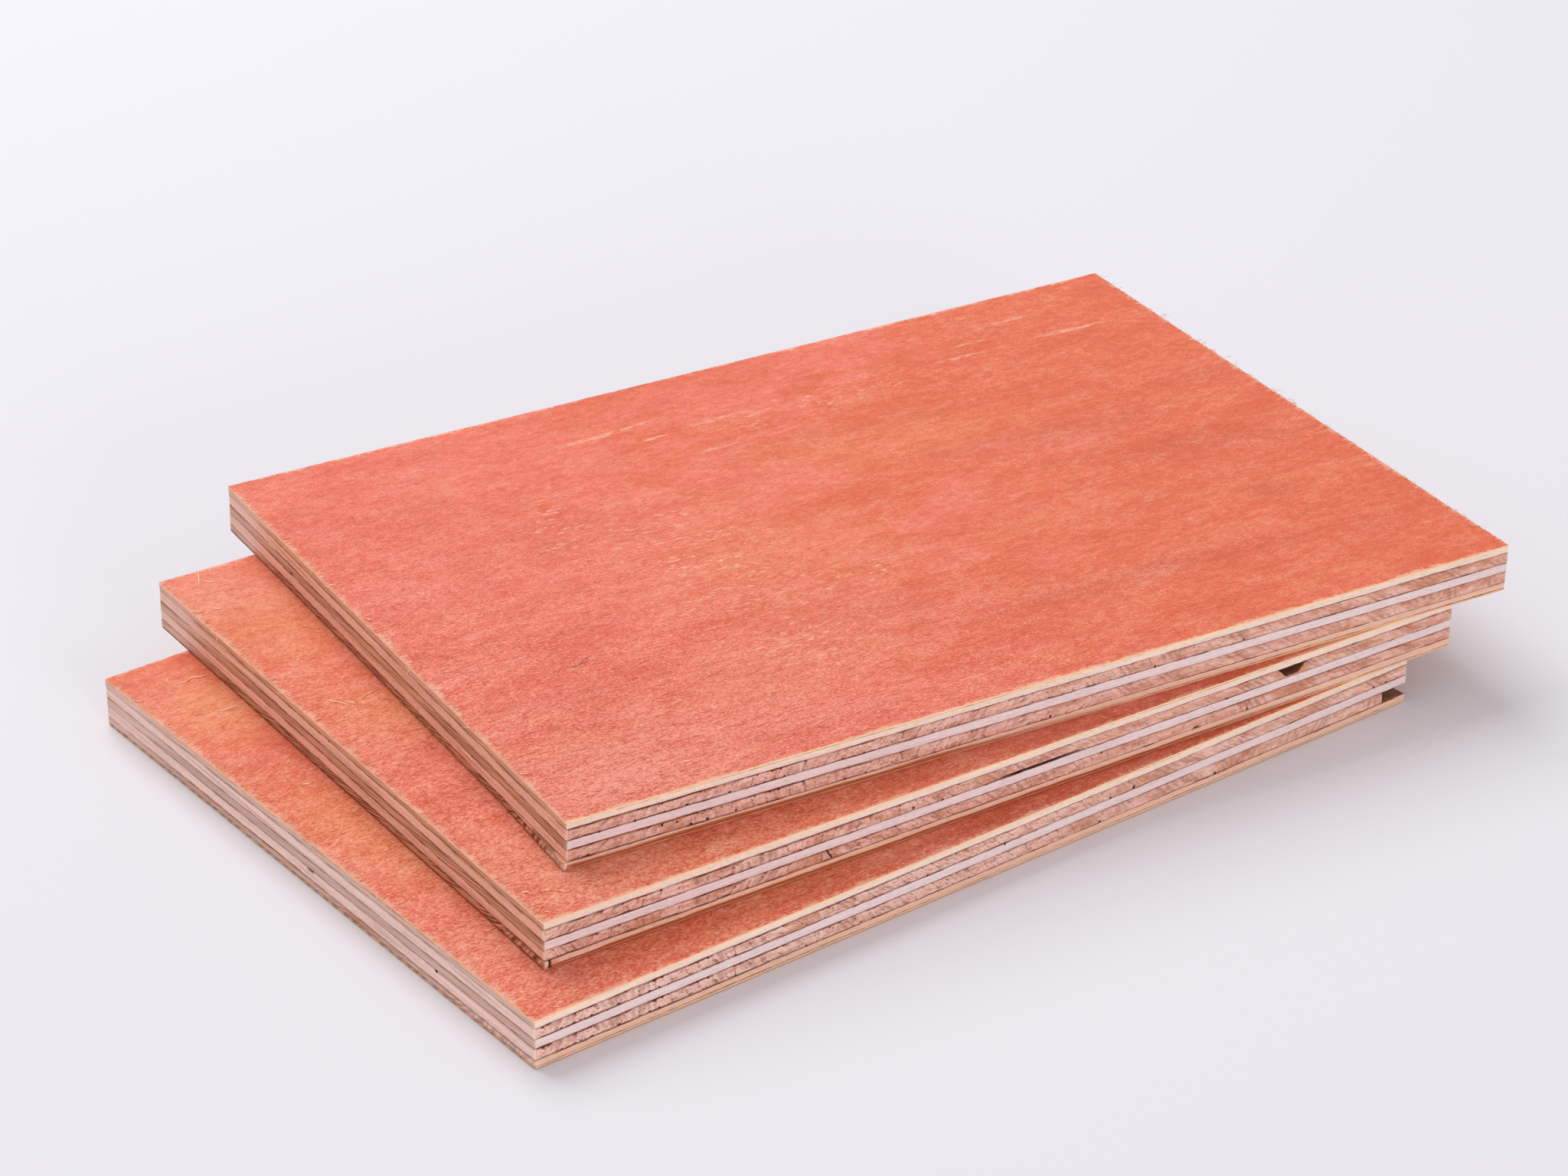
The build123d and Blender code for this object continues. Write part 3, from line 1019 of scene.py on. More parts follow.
def stained_grain(finish, colour, colours, place, away):
    """The stain in small, keenest at the front left corner, with its height and its mottle."""
    calm = finish.smooth(away, -210, 40)
    keen = 1.6 - calm * 1.05
    fibre = finish.noise(place, (2.4, 0.42, 1), 3.0, 0.65) - 0.5
    mottle = finish.noise(place, (0.8, 0.55, 1), 3.0, 0.75) - 0.5
    clumps = finish.noise(place, (3.0, 1.8, 1), 2.0) - 0.5
    broad = finish.noise(place, (13, 5, 1), 2.0) - 0.5
    clouds = finish.noise(place, (24, 15, 1), 2.0) - 0.5
    stain = (fibre * 0.9 + mottle * 2.7) * keen + (clumps * 1.1 + broad * 0.8) * (1 - calm * 0.3)
    stain = stain + clouds * (0.7 - calm * 0.3)
    colour = finish.mix(stain * 1.05, colour, colours.bloom)
    colour = finish.mix(stain * -1.2, colour, colours.pore)
    pores = finish.blots(place, (1.2, 0.26, 1), 0.62, 0.74)
    full = finish.blots(place, (2.8, 0.55, 1), 0.6, 0.72)
    colour = finish.mix(finish.maths("MAXIMUM", pores * 0.55, full * 0.5) * keen, colour, colours.pore)
    specks = finish.blots(place, (0.9, 0.4, 1), 0.6, 0.8)
    colour = finish.mix(specks * keen * 0.3, colour, colours.bloom)
    return colour, stain * 0.6 - pores * 0.5 - full * 0.2 + specks * 0.1, mottle


def missed_wood(finish, place, waved, top):
    """Where the stain missed the wood: rows of short dashes, and long scratches on the top sheet."""
    dashes = finish.blots(place, (2.2, 0.7, 1), 0.54, 0.7)
    rows = finish.blots(place, (13, 1.7, 1), 0.46, 0.58)
    zone = finish.blots(place, (34, 22, 1), 0.58, 0.7) * 0.3 + 0.08
    for shape in DASH_PATCHES if top else ():
        zone = finish.maths("MAXIMUM", zone, finish.stroke(waved, *shape, soft=0.9))
    bare = dashes * rows * zone * 0.8
    if top:
        bent = finish.wander(place, (14, 3, 1), 1.6)
        broken_up = finish.blots(place, (2.4, 0.5, 1), 0.38, 0.58, 2.0)
        for shape in PALE_SCRATCHES:
            missed = finish.stroke(bent, *shape, soft=1.0) * broken_up
            bare = finish.maths("MAXIMUM", bare, missed * 0.8)
    return bare


def worn_rims(finish, place, x, y):
    """Bare wood at a face's rims: all of them, and the frayed short ones alone."""
    short_rim = HALF_LENGTH - finish.maths("ABSOLUTE", x)
    long_rim = HALF_WIDTH - finish.maths("ABSOLUTE", y)
    tufts = (finish.noise(place, (2.2, 0.3, 1), 2.0) - 0.5) * 6.0
    gathered = (finish.noise(place, (7, 5, 1), 1.0) - 0.5) * 3.6
    frays = finish.smooth(short_rim - tufts - gathered, 1.0, 0.0)
    chips = (finish.noise(place, (1.6, 1.0, 1), 3.0, 0.6) - 0.5) * 3.4
    sanded = (finish.noise(place, (9, 7, 1), 1.0) - 0.5) * 2.4
    worn = finish.smooth(long_rim - chips - sanded, 0.8, 0.0)
    return finish.maths("MAXIMUM", worn, frays), frays


def stained_face(sheet_name, colours, sizes):
    """The red-orange stain on a face: clouds, fibres, pores, missed scratches and a worn rim."""
    finish = Finish(f"{sheet_name}_stained_face")
    top = sheet_name == "top_sheet"
    place = finish.place()
    x, y, _ = finish.parts(place)
    waved = finish.wander(finish.wander(place, (60, 26, 1), 8.0), (9, 6, 1), 2.4)
    colour = stain_clouds(finish, sheet_name, colours, waved, x)
    colour, height, mottle = stained_grain(finish, colour, colours, place, x + y)
    bare = missed_wood(finish, place, waved, top)
    colour = finish.mix(bare * 0.9, colour, colours.bare)
    if top:
        jagged = finish.wander(place, (2.6, 1.2, 1), 1.5)
        crack = finish.maths("MAXIMUM", *(finish.stroke(jagged, *shape, soft=0.6) for shape in FACE_CRACK))
        # Painted shade in the crack, which has bumps but no depth in the mesh
        colour = finish.mix(crack * 0.6, colour, colours.gap)
        height = height - crack * 2.0
    rim, frays = worn_rims(finish, place, x, y)
    colour = finish.mix(rim * 0.62, colour, colours.bare)
    height = height - bare * 0.3 + frays * 0.5
    roughness = 0.6 + mottle * 0.4 + bare * 0.15
    return finish.paint(colour, height, sizes.pore_depth * 2.0, roughness)


# Places along an edge, in the finishes below, run on from the front edge's left end round the sheet:
# 250 is the right corner in front, 425 the right one at the back, 675 the left one at the back, and
# the left edge comes forward from there to 850. These are where the left edge begins, and where the
# wood toward its far end stops turning paler.
ONTO_LEFT = (660, 680)
PALER_END = (703, 684)

# How dark the joints are on each sheet's short edges, and how far and with how many blobs they spread
SHORT_EDGE_GLUE = {"top_sheet": 0.72, "middle_sheet": 0.78, "bottom_sheet": 0.5}
SHORT_EDGE_SPREAD, FEW_BLOBS = 0.27, 0.3

# Rings in the end grain of long plies: spacing, thickness, slant on top of the one in the mesh, strength
# and shade, and how much of the last two the bottom sheet has
RINGS = {
    "upper_long_ply": (12.0, 1.6, 5.0, 0.4, 0.1),
    "centre_ply": (9.0, 2.2, 3.2, 0.7, 0.14),
    "lower_long_ply": (3.6, 1.25, 1.9, 1.0, 0.08),
}
BOTTOM_RINGS = (0.42, 0.5)

# Strokes on a back veneer's short edges: spacing, thickness and slant
BACK_STROKES = (3.6, 1.5, 1.9)

# How strongly a sheet's foot is painted with shade and red light reflected from the stained face below,
# on the left edge and the front one, and the place where that ends on the front one, and how high a
# sheet's lowest ply is browned on the front edge, partly its own brown wood and partly painted shade
# above the sheet below, and where that ends
RED_BOUNCE_SHADE = {"top_sheet": (0.8, 135), "middle_sheet": (0.97, 195), "bottom_sheet": (0.0, 0)}
BROWNED_AND_SHADED = {"top_sheet": (1.1, 115), "middle_sheet": (0.9, 190)}


def glued(finish, colour, colours, strength, reach, joints=(True, True), beads=1.0, dark=None):
    """Darken wood beside its lower and upper joint, in an uneven line with blobs."""
    along, up, down = finish.kept("sawn")
    for number, away in enumerate((up, down)):
        if not joints[number]:
            continue
        run = finish.joined(along, number * 40.0 + finish.seed)
        uneven = finish.noise(run, (4.5, 1, 1), 3.0) - 0.46
        blobs = finish.blots(run, (1.2, 1, 1), 0.58, 0.74) * beads
        fainter = finish.blots(run, (8, 1, 1), 0.36, 0.56, 2.0) * 0.6 + 0.4
        edge = reach * 0.8 + uneven * (reach * 2.2) + blobs * reach
        seam = finish.smooth((away - edge) / reach, 0.8, -0.6)
        colour = finish.mix(seam * fainter * (strength + blobs * 0.2), colour, dark or colours.glue)
    return colour


def marked(finish, colour, colours, hatch):
    """Add brown wood, dark dots, painted shade in gaps, and worn corners where the mesh says they are."""
    brown, dark, worn = finish.kept("marks")
    colour = finish.mix(brown * (hatch * 1.5 - 0.25), colour, colours.knot)
    colour = finish.mix(worn * 0.4, colour, colours.cream)
    # The dark mark is painted shade in open joints, cracks, the hole and the broken corner, and the wood's
    # own dark in dots
    return finish.mix(finish.smooth(dark, 0.12, 0.6), colour, colours.gap)


def short_edge_joints(finish, colour, colours, sheet_name, layer, along):
    """Dark joints beside a ply on short edges, and paler wood toward the left edge's far end."""
    dark = colours.glue if sheet_name == "bottom_sheet" else finish.mix(0.6, colours.glue, colours.ring)
    joints = (True, layer != "upper_long_ply")
    strength = SHORT_EDGE_GLUE[sheet_name]
    colour = glued(finish, colour, colours, strength, SHORT_EDGE_SPREAD, joints, FEW_BLOBS, dark)
    paler = finish.smooth(along, *PALER_END) * finish.smooth(along, *ONTO_LEFT)
    return finish.mix(paler * 0.55, colour, colours.smooth)


def lathe_checks(finish, colour, colours, flat, along, drift, right):
    """Checks in a cross ply: broad soft ones in groups, and fine dark ones that fade to the right."""
    broad = finish.lines(along + drift * 0.4, 1.9, 0.9)
    grouped = finish.blots(flat, (6, 4, 1), 0.48, 0.62)
    colour = finish.mix(broad * grouped * 0.34, colour, colours.check)
    strong = finish.lines(along + drift, 3.6, 0.26)
    weak = finish.lines(along + drift * 0.9, 1.25, 0.17)
    broken = finish.blots(flat, (1.9, 0.9, 1), 0.47, 0.58, 2.0)
    faint = finish.blots(flat, (1.8, 0.8, 1), 0.48, 0.6)
    checks = finish.maths("MAXIMUM", strong * broken, weak * faint * 0.5) * (1 - right * 0.6)
    return finish.mix(checks * 0.7, colour, colours.check), checks


def cross_end_grain(sheet_name, colours, sizes):
    """End grain of a cross ply: pinkish brown, mottled and torn, with short slanted lathe checks."""
    finish = Finish(f"{sheet_name}_cross_end_grain", 0.75)
    along, up, _ = finish.kept("sawn")
    flat = finish.joined(along, up)
    right = finish.smooth(along, 90, 200)
    drift = (finish.noise(flat, (3.4, 1.4, 1), 3.0, 0.6) - 0.5) * 3.4
    fine = finish.noise(flat, (0.6, 0.42, 1), 3.0, 0.7) - 0.5
    torn = finish.noise(finish.joined(along + drift * 0.5, up), (1.7, 0.7, 1), 3.0, 0.6) - 0.5
    hatch = finish.noise(finish.joined(along + drift * 0.6, up), (0.8, 3.0, 1), 2.0)
    smeared = finish.blots(flat, (1.6, 2.2, 1), 0.44, 0.66, 3.0, 0.6)
    patch = finish.blots(flat, (4.4, 1.4, 1), 0.47, 0.64, 3.0, 0.65)
    pinker = finish.blots(flat, (9, 1.8, 1), 0.45, 0.62, 3.0, 0.6)
    base = colours.cross
    if sheet_name == "bottom_sheet":
        base = finish.mix(0.35, colours.cross, colours.smooth)
    colour = finish.mix(patch * 0.5 + finish.smooth(along, 30, 240) * 0.1, base, colours.knot)
    colour = finish.mix(pinker * 0.45, colour, colours.smooth)
    tone = ((hatch - 0.5) * 0.4 + fine * 1.5 + torn * 1.4) * (1 - right * 0.6)
    colour = finish.mix(tone, colour, colours.cream)
    colour = finish.mix(tone * -1.2, colour, colours.check)
    colour = finish.mix(smeared * right * 0.36, colour, colours.knot)
    colour, checks = lathe_checks(finish, colour, colours, flat, along, drift, right)
    left = finish.smooth(along, 150, 30)
    strength = 0.48 + left * 0.5
    colour = glued(finish, colour, colours, strength, left * 0.13 + 0.15, (True, False))
    colour = glued(finish, colour, colours, strength, left * 0.13 + 0.17, (False, True))
    colour = marked(finish, colour, colours, hatch)
    height = fine * 0.6 + torn * 0.5 + hatch * 0.4 - checks
    return finish.paint(colour, height, sizes.check_depth)


def long_end_grain(sheet_name, colours, sizes, layer):
    """End grain of a long ply: tan, with dark growth rings at a shallow slant."""
    finish = Finish(f"{sheet_name}_{layer}_end_grain", 0.75)
    spacing, thickness, slant, strength, shade = RINGS[layer]
    base = finish.mix(0.18, colours.tan, colours.toast) if layer == "lower_long_ply" else colours.tan
    if sheet_name == "bottom_sheet":
        base = finish.mix(0.5, colours.peach, colours.smooth)
        strength, shade = strength * BOTTOM_RINGS[0], shade * BOTTOM_RINGS[1]
    along, up, _ = finish.kept("sawn")
    flat = finish.joined(along, up)
    drift = (finish.noise(flat, (14, 3.5, 1), 1.0) - 0.5) * (spacing * 0.35)
    fine = finish.noise(flat, (0.5, 0.3, 1), 3.0, 0.6) - 0.5
    slanted = along + drift - up * slant
    bands = finish.noise(finish.joined(slanted, up), (spacing * 0.6, 5.0, 1), 3.0)
    patch = finish.blots(flat, (22, 3, 1), 0.44, 0.7, 2.0)
    colour = finish.mix(patch * shade, base, colours.toast)
    colour = finish.mix(finish.smooth(bands, 0.56, 0.36) * shade, colour, colours.ring)
    colour = finish.scaled(colour, 1.0 + (bands - 0.5) * 0.4 + fine * 0.45)
    rings = finish.lines(slanted, spacing, thickness)
    thin = finish.lines(slanted - drift * 0.2, spacing * 0.45, thickness * 0.5)
    faded = finish.blots(flat, (9, 2.2, 1), 0.32, 0.52)
    rings = finish.maths("MAXIMUM", rings * faded, thin * 0.55)
    colour = finish.mix(rings * strength, colour, colours.ring)
    colour = short_edge_joints(finish, colour, colours, sheet_name, layer, along)
    colour = marked(finish, colour, colours, bands)
    return finish.paint(colour, fine * 0.6 + bands * 0.5 - rings * 0.8, sizes.check_depth)


def side_grain(sheet_name, colours, sizes, layer, base, browned_and_shaded=None):
    """Side grain on an edge: pale and smooth, with long faint streaks."""
    finish = Finish(f"{sheet_name}_{layer}_side_grain", 0.7)
    along, up, _ = finish.kept("sawn")
    flat = finish.joined(along, up)
    fine = finish.noise(flat, (2.4, 0.14, 1), 2.0)
    streaks = finish.noise(flat, (24, 0.5, 1), 3.0)
    nicks = finish.noise(flat, (0.35, 0.5, 1), 2.0)
    cross = "cross" in layer
    rough = 1.6 if cross else 1.0
    tone = 1.0 + (streaks - 0.5) * (0.7 if cross else 0.34)
    tone = tone + (fine - 0.5) * (0.3 * rough) + (nicks - 0.5) * (0.2 * rough)
    colour = finish.scaled(base, tone)
    if cross:
        shade = finish.blots(flat, (38, 1.1, 1), 0.5, 0.72, 2.0)
        colour = finish.mix(shade * 0.4, colour, colours.toast)
    if browned_and_shaded:
        # Browner toward the lowest ply's foot on the front edge: partly its own brown wood, partly painted
        # shade above the sheet below
        height, end = browned_and_shaded
        edge = up + (finish.noise(flat, (16, 0.9, 1), 2.0) - 0.5) * 1.1
        brown = finish.smooth(edge, height, height * 0.5) * finish.smooth(along, end + 30, end - 30)
        colour = finish.mix(brown * 0.95, colour, colours.toast)
    pores = finish.blots(flat, (1.6, 0.1, 1), 0.65, 0.76)
    colour = finish.mix(pores * 0.35, colour, colours.check)
    if cross:
        colour = short_edge_joints(finish, colour, colours, sheet_name, layer, along)
    else:
        joints = (True, layer != "upper_long_ply")
        colour = glued(finish, colour, colours, 0.95, 0.14, joints, FEW_BLOBS)
    colour = marked(finish, colour, colours, streaks)
    height = fine * 0.5 + streaks * 0.4 + nicks * 0.4 - pores * 0.6
    return finish.paint(colour, height, sizes.check_depth * 0.5)


def veneer_edge(sheet_name, colours, sizes, stained, base, side):
    """The thin edge of a veneer: stain soaked in from the face, or glue over a foot of painted red shade.
    """
    finish = Finish(f"{sheet_name}_{'face' if stained else 'back'}_veneer_{side}_edge", 0.7)
    along, up, down = finish.kept("sawn")
    flat = finish.joined(along, up)
    fine = finish.noise(flat, (1.4, 0.16, 1), 2.0)
    streaks = finish.noise(flat, (14, 0.6, 1), 2.0)
    colour = finish.scaled(base, 1.0 + (fine - 0.5) * 0.3 + (streaks - 0.5) * 0.24)
    if stained:
        soak = finish.noise(flat, (1.1, 1, 1), 2.0) * 0.2 + finish.noise(flat, (9, 1, 1), 1.0) * 0.1 - 0.06
        colour = finish.mix(finish.smooth(down - soak, 0.05, -0.06) * 0.7, colour, colours.amber)
    else:
        colour = glued(finish, colour, colours, 0.3, 0.08, (False, True))
        # Painted shade and painted red light reflected from the stained face below, at the foot of the edge
        red, end = RED_BOUNCE_SHADE[sheet_name]
        foot = up + (finish.noise(flat, (6, 1, 1), 2.0) - 0.5) * 0.3
        on_left = finish.smooth(along, *ONTO_LEFT)
        here = finish.maths("MAXIMUM", finish.smooth(along, end + 45, end - 45), on_left)
        lower = finish.smooth(foot, 0.85, 0.1) * (here * 0.9 + 0.1)
        colour = finish.mix(lower * red, colour, colours.foot)
        if side == "short":
            spacing, thickness, slant = BACK_STROKES
            strokes = finish.lines(along + streaks * 3 - up * slant, spacing, thickness)
            colour = finish.mix(strokes * 0.55, colour, colours.ring)
    colour = marked(finish, colour, colours, streaks)
    return finish.paint(colour, fine, sizes.check_depth * 0.4)


def glued_face(sheet_name, colours, sizes):
    """The glued face of a layer, which shows only in holes."""
    finish = Finish(f"{sheet_name}_glued_face", 0.7)
    place = finish.place()
    fine = finish.noise(place, (2.5, 0.4, 1), 2.0)
    smears = finish.blots(place, (9, 7, 1), 0.45, 0.62, 3.0)
    colour = finish.mix(smears * 0.6, finish.scaled(colours.tan, 0.9 + (fine - 0.5) * 0.3), colours.glue)
    if sheet_name == "bottom_sheet":
        # Painted shade on the glued face where the broken corner lays it open
        broken = finish.stroke(place, HALF_LENGTH, -HALF_WIDTH, 13, 12, 0, soft=0.4)
        colour = finish.mix(broken * (0.7 + smears * 0.25), colour, colours.check)
    return finish.paint(colour, fine, sizes.pore_depth)


def back_face(sheet_name, colours, sizes):
    """The unstained back veneer: early and late wood in long figure, pores and a few pin knots."""
    finish = Finish(f"{sheet_name}_back_face", 0.66)
    place = finish.place()
    waved = finish.wander(finish.wander(place, (60, 22, 1), 16.0), (12, 4, 1), 2.0)
    bands = finish.maths("FRACT", finish.noise(waved, (120, 9, 1), 2.0) * 9)
    late = finish.smooth(bands, 0.35, 0.9) * finish.smooth(bands, 1.0, 0.94)
    colour = finish.mix(late * 0.6, colours.back_pale, colours.back)
    warm = finish.blots(waved, (70, 30, 1), 0.45, 0.7, 2.0)
    colour = finish.mix(warm * 0.25, colour, colours.toast)
    fibre = finish.noise(place, (4, 0.3, 1), 3.0)
    mottle = finish.noise(place, (0.9, 0.5, 1), 2.0)
    colour = finish.scaled(colour, 1 + (fibre - 0.5) * 0.26 + (mottle - 0.5) * 0.18)
    pores = finish.blots(place, (2.2, 0.2, 1), 0.64, 0.74)
    colour = finish.mix(pores * 0.4, colour, colours.ring)
    sockets = {"Vector": finish.scaled(finish.wander(place, (4, 4, 1), 2.0), 1 / 42), "Scale": 1.0}
    away = finish.node("ShaderNodeTexVoronoi", {"feature": "F1"}, sockets, "Distance")
    knots = finish.smooth(away, 0.045, 0.02)
    colour = finish.mix(knots * 0.8, colour, colours.check)
    height = fibre * 0.5 + mottle * 0.25 - pores * 0.4 - knots * 0.6 - late * 0.15
    return finish.paint(colour, height, sizes.pore_depth * 2)


# Points along a torn fibre and a long splinter, how many small splinters lie on a face, how high
# splinters lie and how far the long ones bow up, and how much thicker than fibres those are
FIBRE_POINTS, SPLINTER_POINTS = 5, 24
SMALL_SPLINTERS = 46
SPLINTER_LIFT, SPLINTER_BOW = 0.03, 0.12
SPLINTER_THICKNESS = 2.5

# The depth of a fibre's bumps, a direction that no fibre follows, and a length too small to matter
FIBRE_BUMP = 0.02
ODD_DIRECTION = (0.3, 0.2, 0.93)
NO_LENGTH = 1e-9


def fibre_finish(sheet_name, colours):
    """Torn fibres: pale wood, some of it stained."""
    finish = Finish(f"{sheet_name}_fibres", 0.7)
    tint = finish.noise(finish.place(), (2.5, 2.5, 2.5), 1.0)
    colour = finish.mix(finish.smooth(tint, 0.54, 0.66), colours.bare, colours.amber)
    return finish.paint(colour, tint, FIBRE_BUMP * MM)


def made_once(name, make, *details):
    """A finish that several pieces share, made the first time that it is asked for."""
    return bpy.data.materials.get(name) or make(*details)


def layer_finishes(sheet_name, layer, colours, sizes):
    """Finishes of a layer's long edges, short edges, upper face and lower face, in that order."""
    inner = made_once(f"{sheet_name}_glued_face", glued_face, sheet_name, colours, sizes)
    if "veneer" in layer:
        stained = layer == "face_veneer"
        back_end = colours.back_pale if sheet_name == "bottom_sheet" else colours.back
        bases = (colours.rim, colours.rim_end) if stained else (colours.back_pale, back_end)
        long, short = (
            veneer_edge(sheet_name, colours, sizes, stained, base, side)
            for base, side in zip(bases, ("long", "short"))
        )
        if stained:
            return long, short, stained_face(sheet_name, colours, sizes), inner
        return long, short, inner, back_face(sheet_name, colours, sizes)
    if "cross" in layer:
        ends = made_once(f"{sheet_name}_cross_end_grain", cross_end_grain, sheet_name, colours, sizes)
        # The upper sheets' cross plies take painted warm light reflected from the stained sheet below
        base = colours.smooth if sheet_name == "bottom_sheet" else colours.ruddy
        return ends, side_grain(sheet_name, colours, sizes, layer, base), inner, inner
    base, browned_and_shaded = {
        "upper_long_ply": (colours.cream, None),
        "centre_ply": (colours.pale, None),
        "lower_long_ply": (colours.peach, BROWNED_AND_SHADED.get(sheet_name)),
    }[layer]
    side = side_grain(sheet_name, colours, sizes, layer, base, browned_and_shaded)
    return side, long_end_grain(sheet_name, colours, sizes, layer), inner, inner


def put(name, mesh, matrix):
    """Add a piece to the scene and let it ride on the stack."""
    piece = bpy.data.objects.new(name, mesh)
    piece.matrix_world = matrix
    bpy.context.scene.collection.objects.link(piece)
    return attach(piece, BODY)


def dress(sheet, layer, sizes, colours):
    """Replace one layer of a sheet."""
    mesh = LayerMesh(SawnEdge(sheet, layer, sizes)).mesh
    for material in layer_finishes(sheet.name, layer, colours, sizes):
        mesh.materials.append(material)
    node = f"{sheet.name}_{layer}"
    piece = put(mesh.name, mesh, sheet.matrix)
    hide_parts(node)


def fibre_mesh(name, paths):
    """One mesh of thin tapered tubes with four sides, each from a list of points and a radius."""
    points, faces = [], []
    for path, radius in paths:
        first, rings = len(points), len(path)
        heading = np.gradient(path, axis=0)
        aside = np.cross(heading, ODD_DIRECTION)
        aside /= np.linalg.norm(aside, axis=1)[:, None] + NO_LENGTH
        over = np.cross(aside, heading)
        over /= np.linalg.norm(over, axis=1)[:, None] + NO_LENGTH
        taper = np.sin(np.linspace(0.5, math.pi - 0.25, rings))[:, None] * radius
        for point, a, b in zip(path, aside * taper, over * taper):
            points += [point + a, point + b, point - a, point - b]
        for ring in range(rings - 1):
            base = first + 4 * ring
            for k in range(4):
                faces.append((base + k, base + (k + 1) % 4, base + 4 + (k + 1) % 4, base + 4 + k))
        last = first + 4 * (rings - 1)
        faces += [(first + 3, first + 2, first + 1, first), (last, last + 1, last + 2, last + 3)]
    mesh = bpy.data.meshes.new(name)
    mesh.from_pydata((np.array(points) * MM).tolist(), [], faces)
    mesh.shade_smooth()
    return mesh


def frayed_rim(sheet, sizes):
    """Short torn fibres along the two short edges of a stained face."""
    draw = np.random.default_rng(seed_of(sheet.name, "fibres"))
    _, top = sheet.layer("face_veneer")
    share = np.linspace(0, 1, FIBRE_POINTS)[:, None]
    paths = []
    for end in np.repeat((-1, 1), sizes.fibre_count):
        y = draw.uniform(-0.5, 0.5) * (sheet.width - 2)
        length = draw.gamma(2.2, 0.38) + 0.3
        start = np.array((end * (sheet.length / 2 - draw.uniform(0.0, 0.5)), y, top))
        heading = np.array((end * draw.uniform(-1.2, 0.35), draw.normal(0, 0.4), draw.uniform(-0.1, 0.2)))
        heading /= np.linalg.norm(heading)
        curl = draw.normal(0, 0.3, 3) * (1, 1, 0.4)
        path = start + length * (heading * share + curl * share**2)
        path[:, 2] = path[:, 2].clip(top - 0.5, top + 0.3)
        paths.append((path, sizes.fibre_radius / MM * draw.uniform(0.45, 1.0)))
    return paths


def splinters(sheet, sizes):
    """The longer splinters that lie on a face, bent through their points, and small ones at random."""
    _, top = sheet.layer("face_veneer")
    draw = np.random.default_rng(seed_of(sheet.name, "splinters"))
    paths = []
    for name, points in SPLINTERS:
        if name != sheet.name:
            continue
        points = np.array(points)
        knots, share = np.linspace(0, 1, len(points)), np.linspace(0, 1, SPLINTER_POINTS)
        bend = np.stack([np.interp(share, knots, points[:, k]) for k in range(2)], 1)
        for _ in range(3):
            bend[1:-1] = (bend[:-2] + 2 * bend[1:-1] + bend[2:]) / 4
        rise = top + SPLINTER_LIFT + SPLINTER_BOW * np.sin(share * math.pi) * draw.uniform(0.4, 1)
        paths.append((np.column_stack([bend, rise]), sizes.fibre_radius / MM * SPLINTER_THICKNESS))
    share = np.linspace(-0.5, 0.5, FIBRE_POINTS)
    height = np.full(FIBRE_POINTS, top + SPLINTER_LIFT)
    for _ in range(SMALL_SPLINTERS):
        x, y = draw.uniform(-0.49, 0.49, 2) * (sheet.length, sheet.width)
        turn, length = draw.normal(0, 0.5), draw.uniform(0.5, 1.6)
        bow = draw.normal(0, 0.25) * share**2
        across = x + length * (share * math.cos(turn) - bow * math.sin(turn))
        back = y + length * (share * math.sin(turn) + bow * math.cos(turn))
        line = np.column_stack([across, back, height])
        paths.append((line, sizes.fibre_radius / MM * draw.uniform(0.5, 0.9)))
    return paths


class LayerWork:
    """What the operators that replace layers have in common."""

    bl_options = {"REGISTER", "UNDO"}
    layers = ()

    def execute(self, context):
        """Replace this operator's layers in every sheet."""
        scene = context.scene
        for sheet_name in SHEETS:
            sheet = Sheet(sheet_name)
            for layer in self.layers:
                dress(sheet, layer, scene.plywood_sizes, scene.plywood_colours)
        return {"FINISHED"}


class PLYWOOD_OT_face_veneers(LayerWork, bpy.types.Operator):
    """Make the stained face veneer of each sheet"""

    bl_idname = "plywood.face_veneers"
    bl_label = "Face veneers"
    layers = ("face_veneer",)


class PLYWOOD_OT_long_plies(LayerWork, bpy.types.Operator):
    """Make the plies whose grain runs along the sheets"""

    bl_idname = "plywood.long_plies"
    bl_label = "Long plies"
    layers = ("upper_long_ply", "centre_ply", "lower_long_ply")


class PLYWOOD_OT_cross_plies(LayerWork, bpy.types.Operator):
    """Make the plies whose grain runs across the sheets"""

    bl_idname = "plywood.cross_plies"
    bl_label = "Cross plies"
    layers = ("upper_cross_ply", "lower_cross_ply")


class PLYWOOD_OT_back_veneers(LayerWork, bpy.types.Operator):
    """Make the unstained back veneer of each sheet"""

    bl_idname = "plywood.back_veneers"
    bl_label = "Back veneers"
    layers = ("back_veneer",)


class PLYWOOD_OT_loose_fibres(bpy.types.Operator):
    """Fray the short edges of the stained faces and scatter splinters on them"""

    bl_idname = "plywood.loose_fibres"
    bl_label = "Loose fibres"
    bl_options = {"REGISTER", "UNDO"}

    def execute(self, context):
        """Add one piece of fibres and splinters to each sheet."""
        scene = context.scene
        for sheet_name in SHEETS:
            sheet = Sheet(sheet_name)
            paths = frayed_rim(sheet, scene.plywood_sizes) + splinters(sheet, scene.plywood_sizes)
            mesh = fibre_mesh(f"{sheet_name}_loose_fibres", paths)
            mesh.materials.append(fibre_finish(sheet_name, scene.plywood_colours))
            put(mesh.name, mesh, sheet.matrix)
        return {"FINISHED"}


# The camera's place in millimetres and its angles in degrees, in the stack's frame, and its lens
CAMERA_PLACE = (-534.27, -697.23, 517.07)
CAMERA_YAW, CAMERA_PITCH, CAMERA_ROLL = -37.806, 28.844, 0.436
CAMERA_LENS, CAMERA_SENSOR = 99.49, 36.0

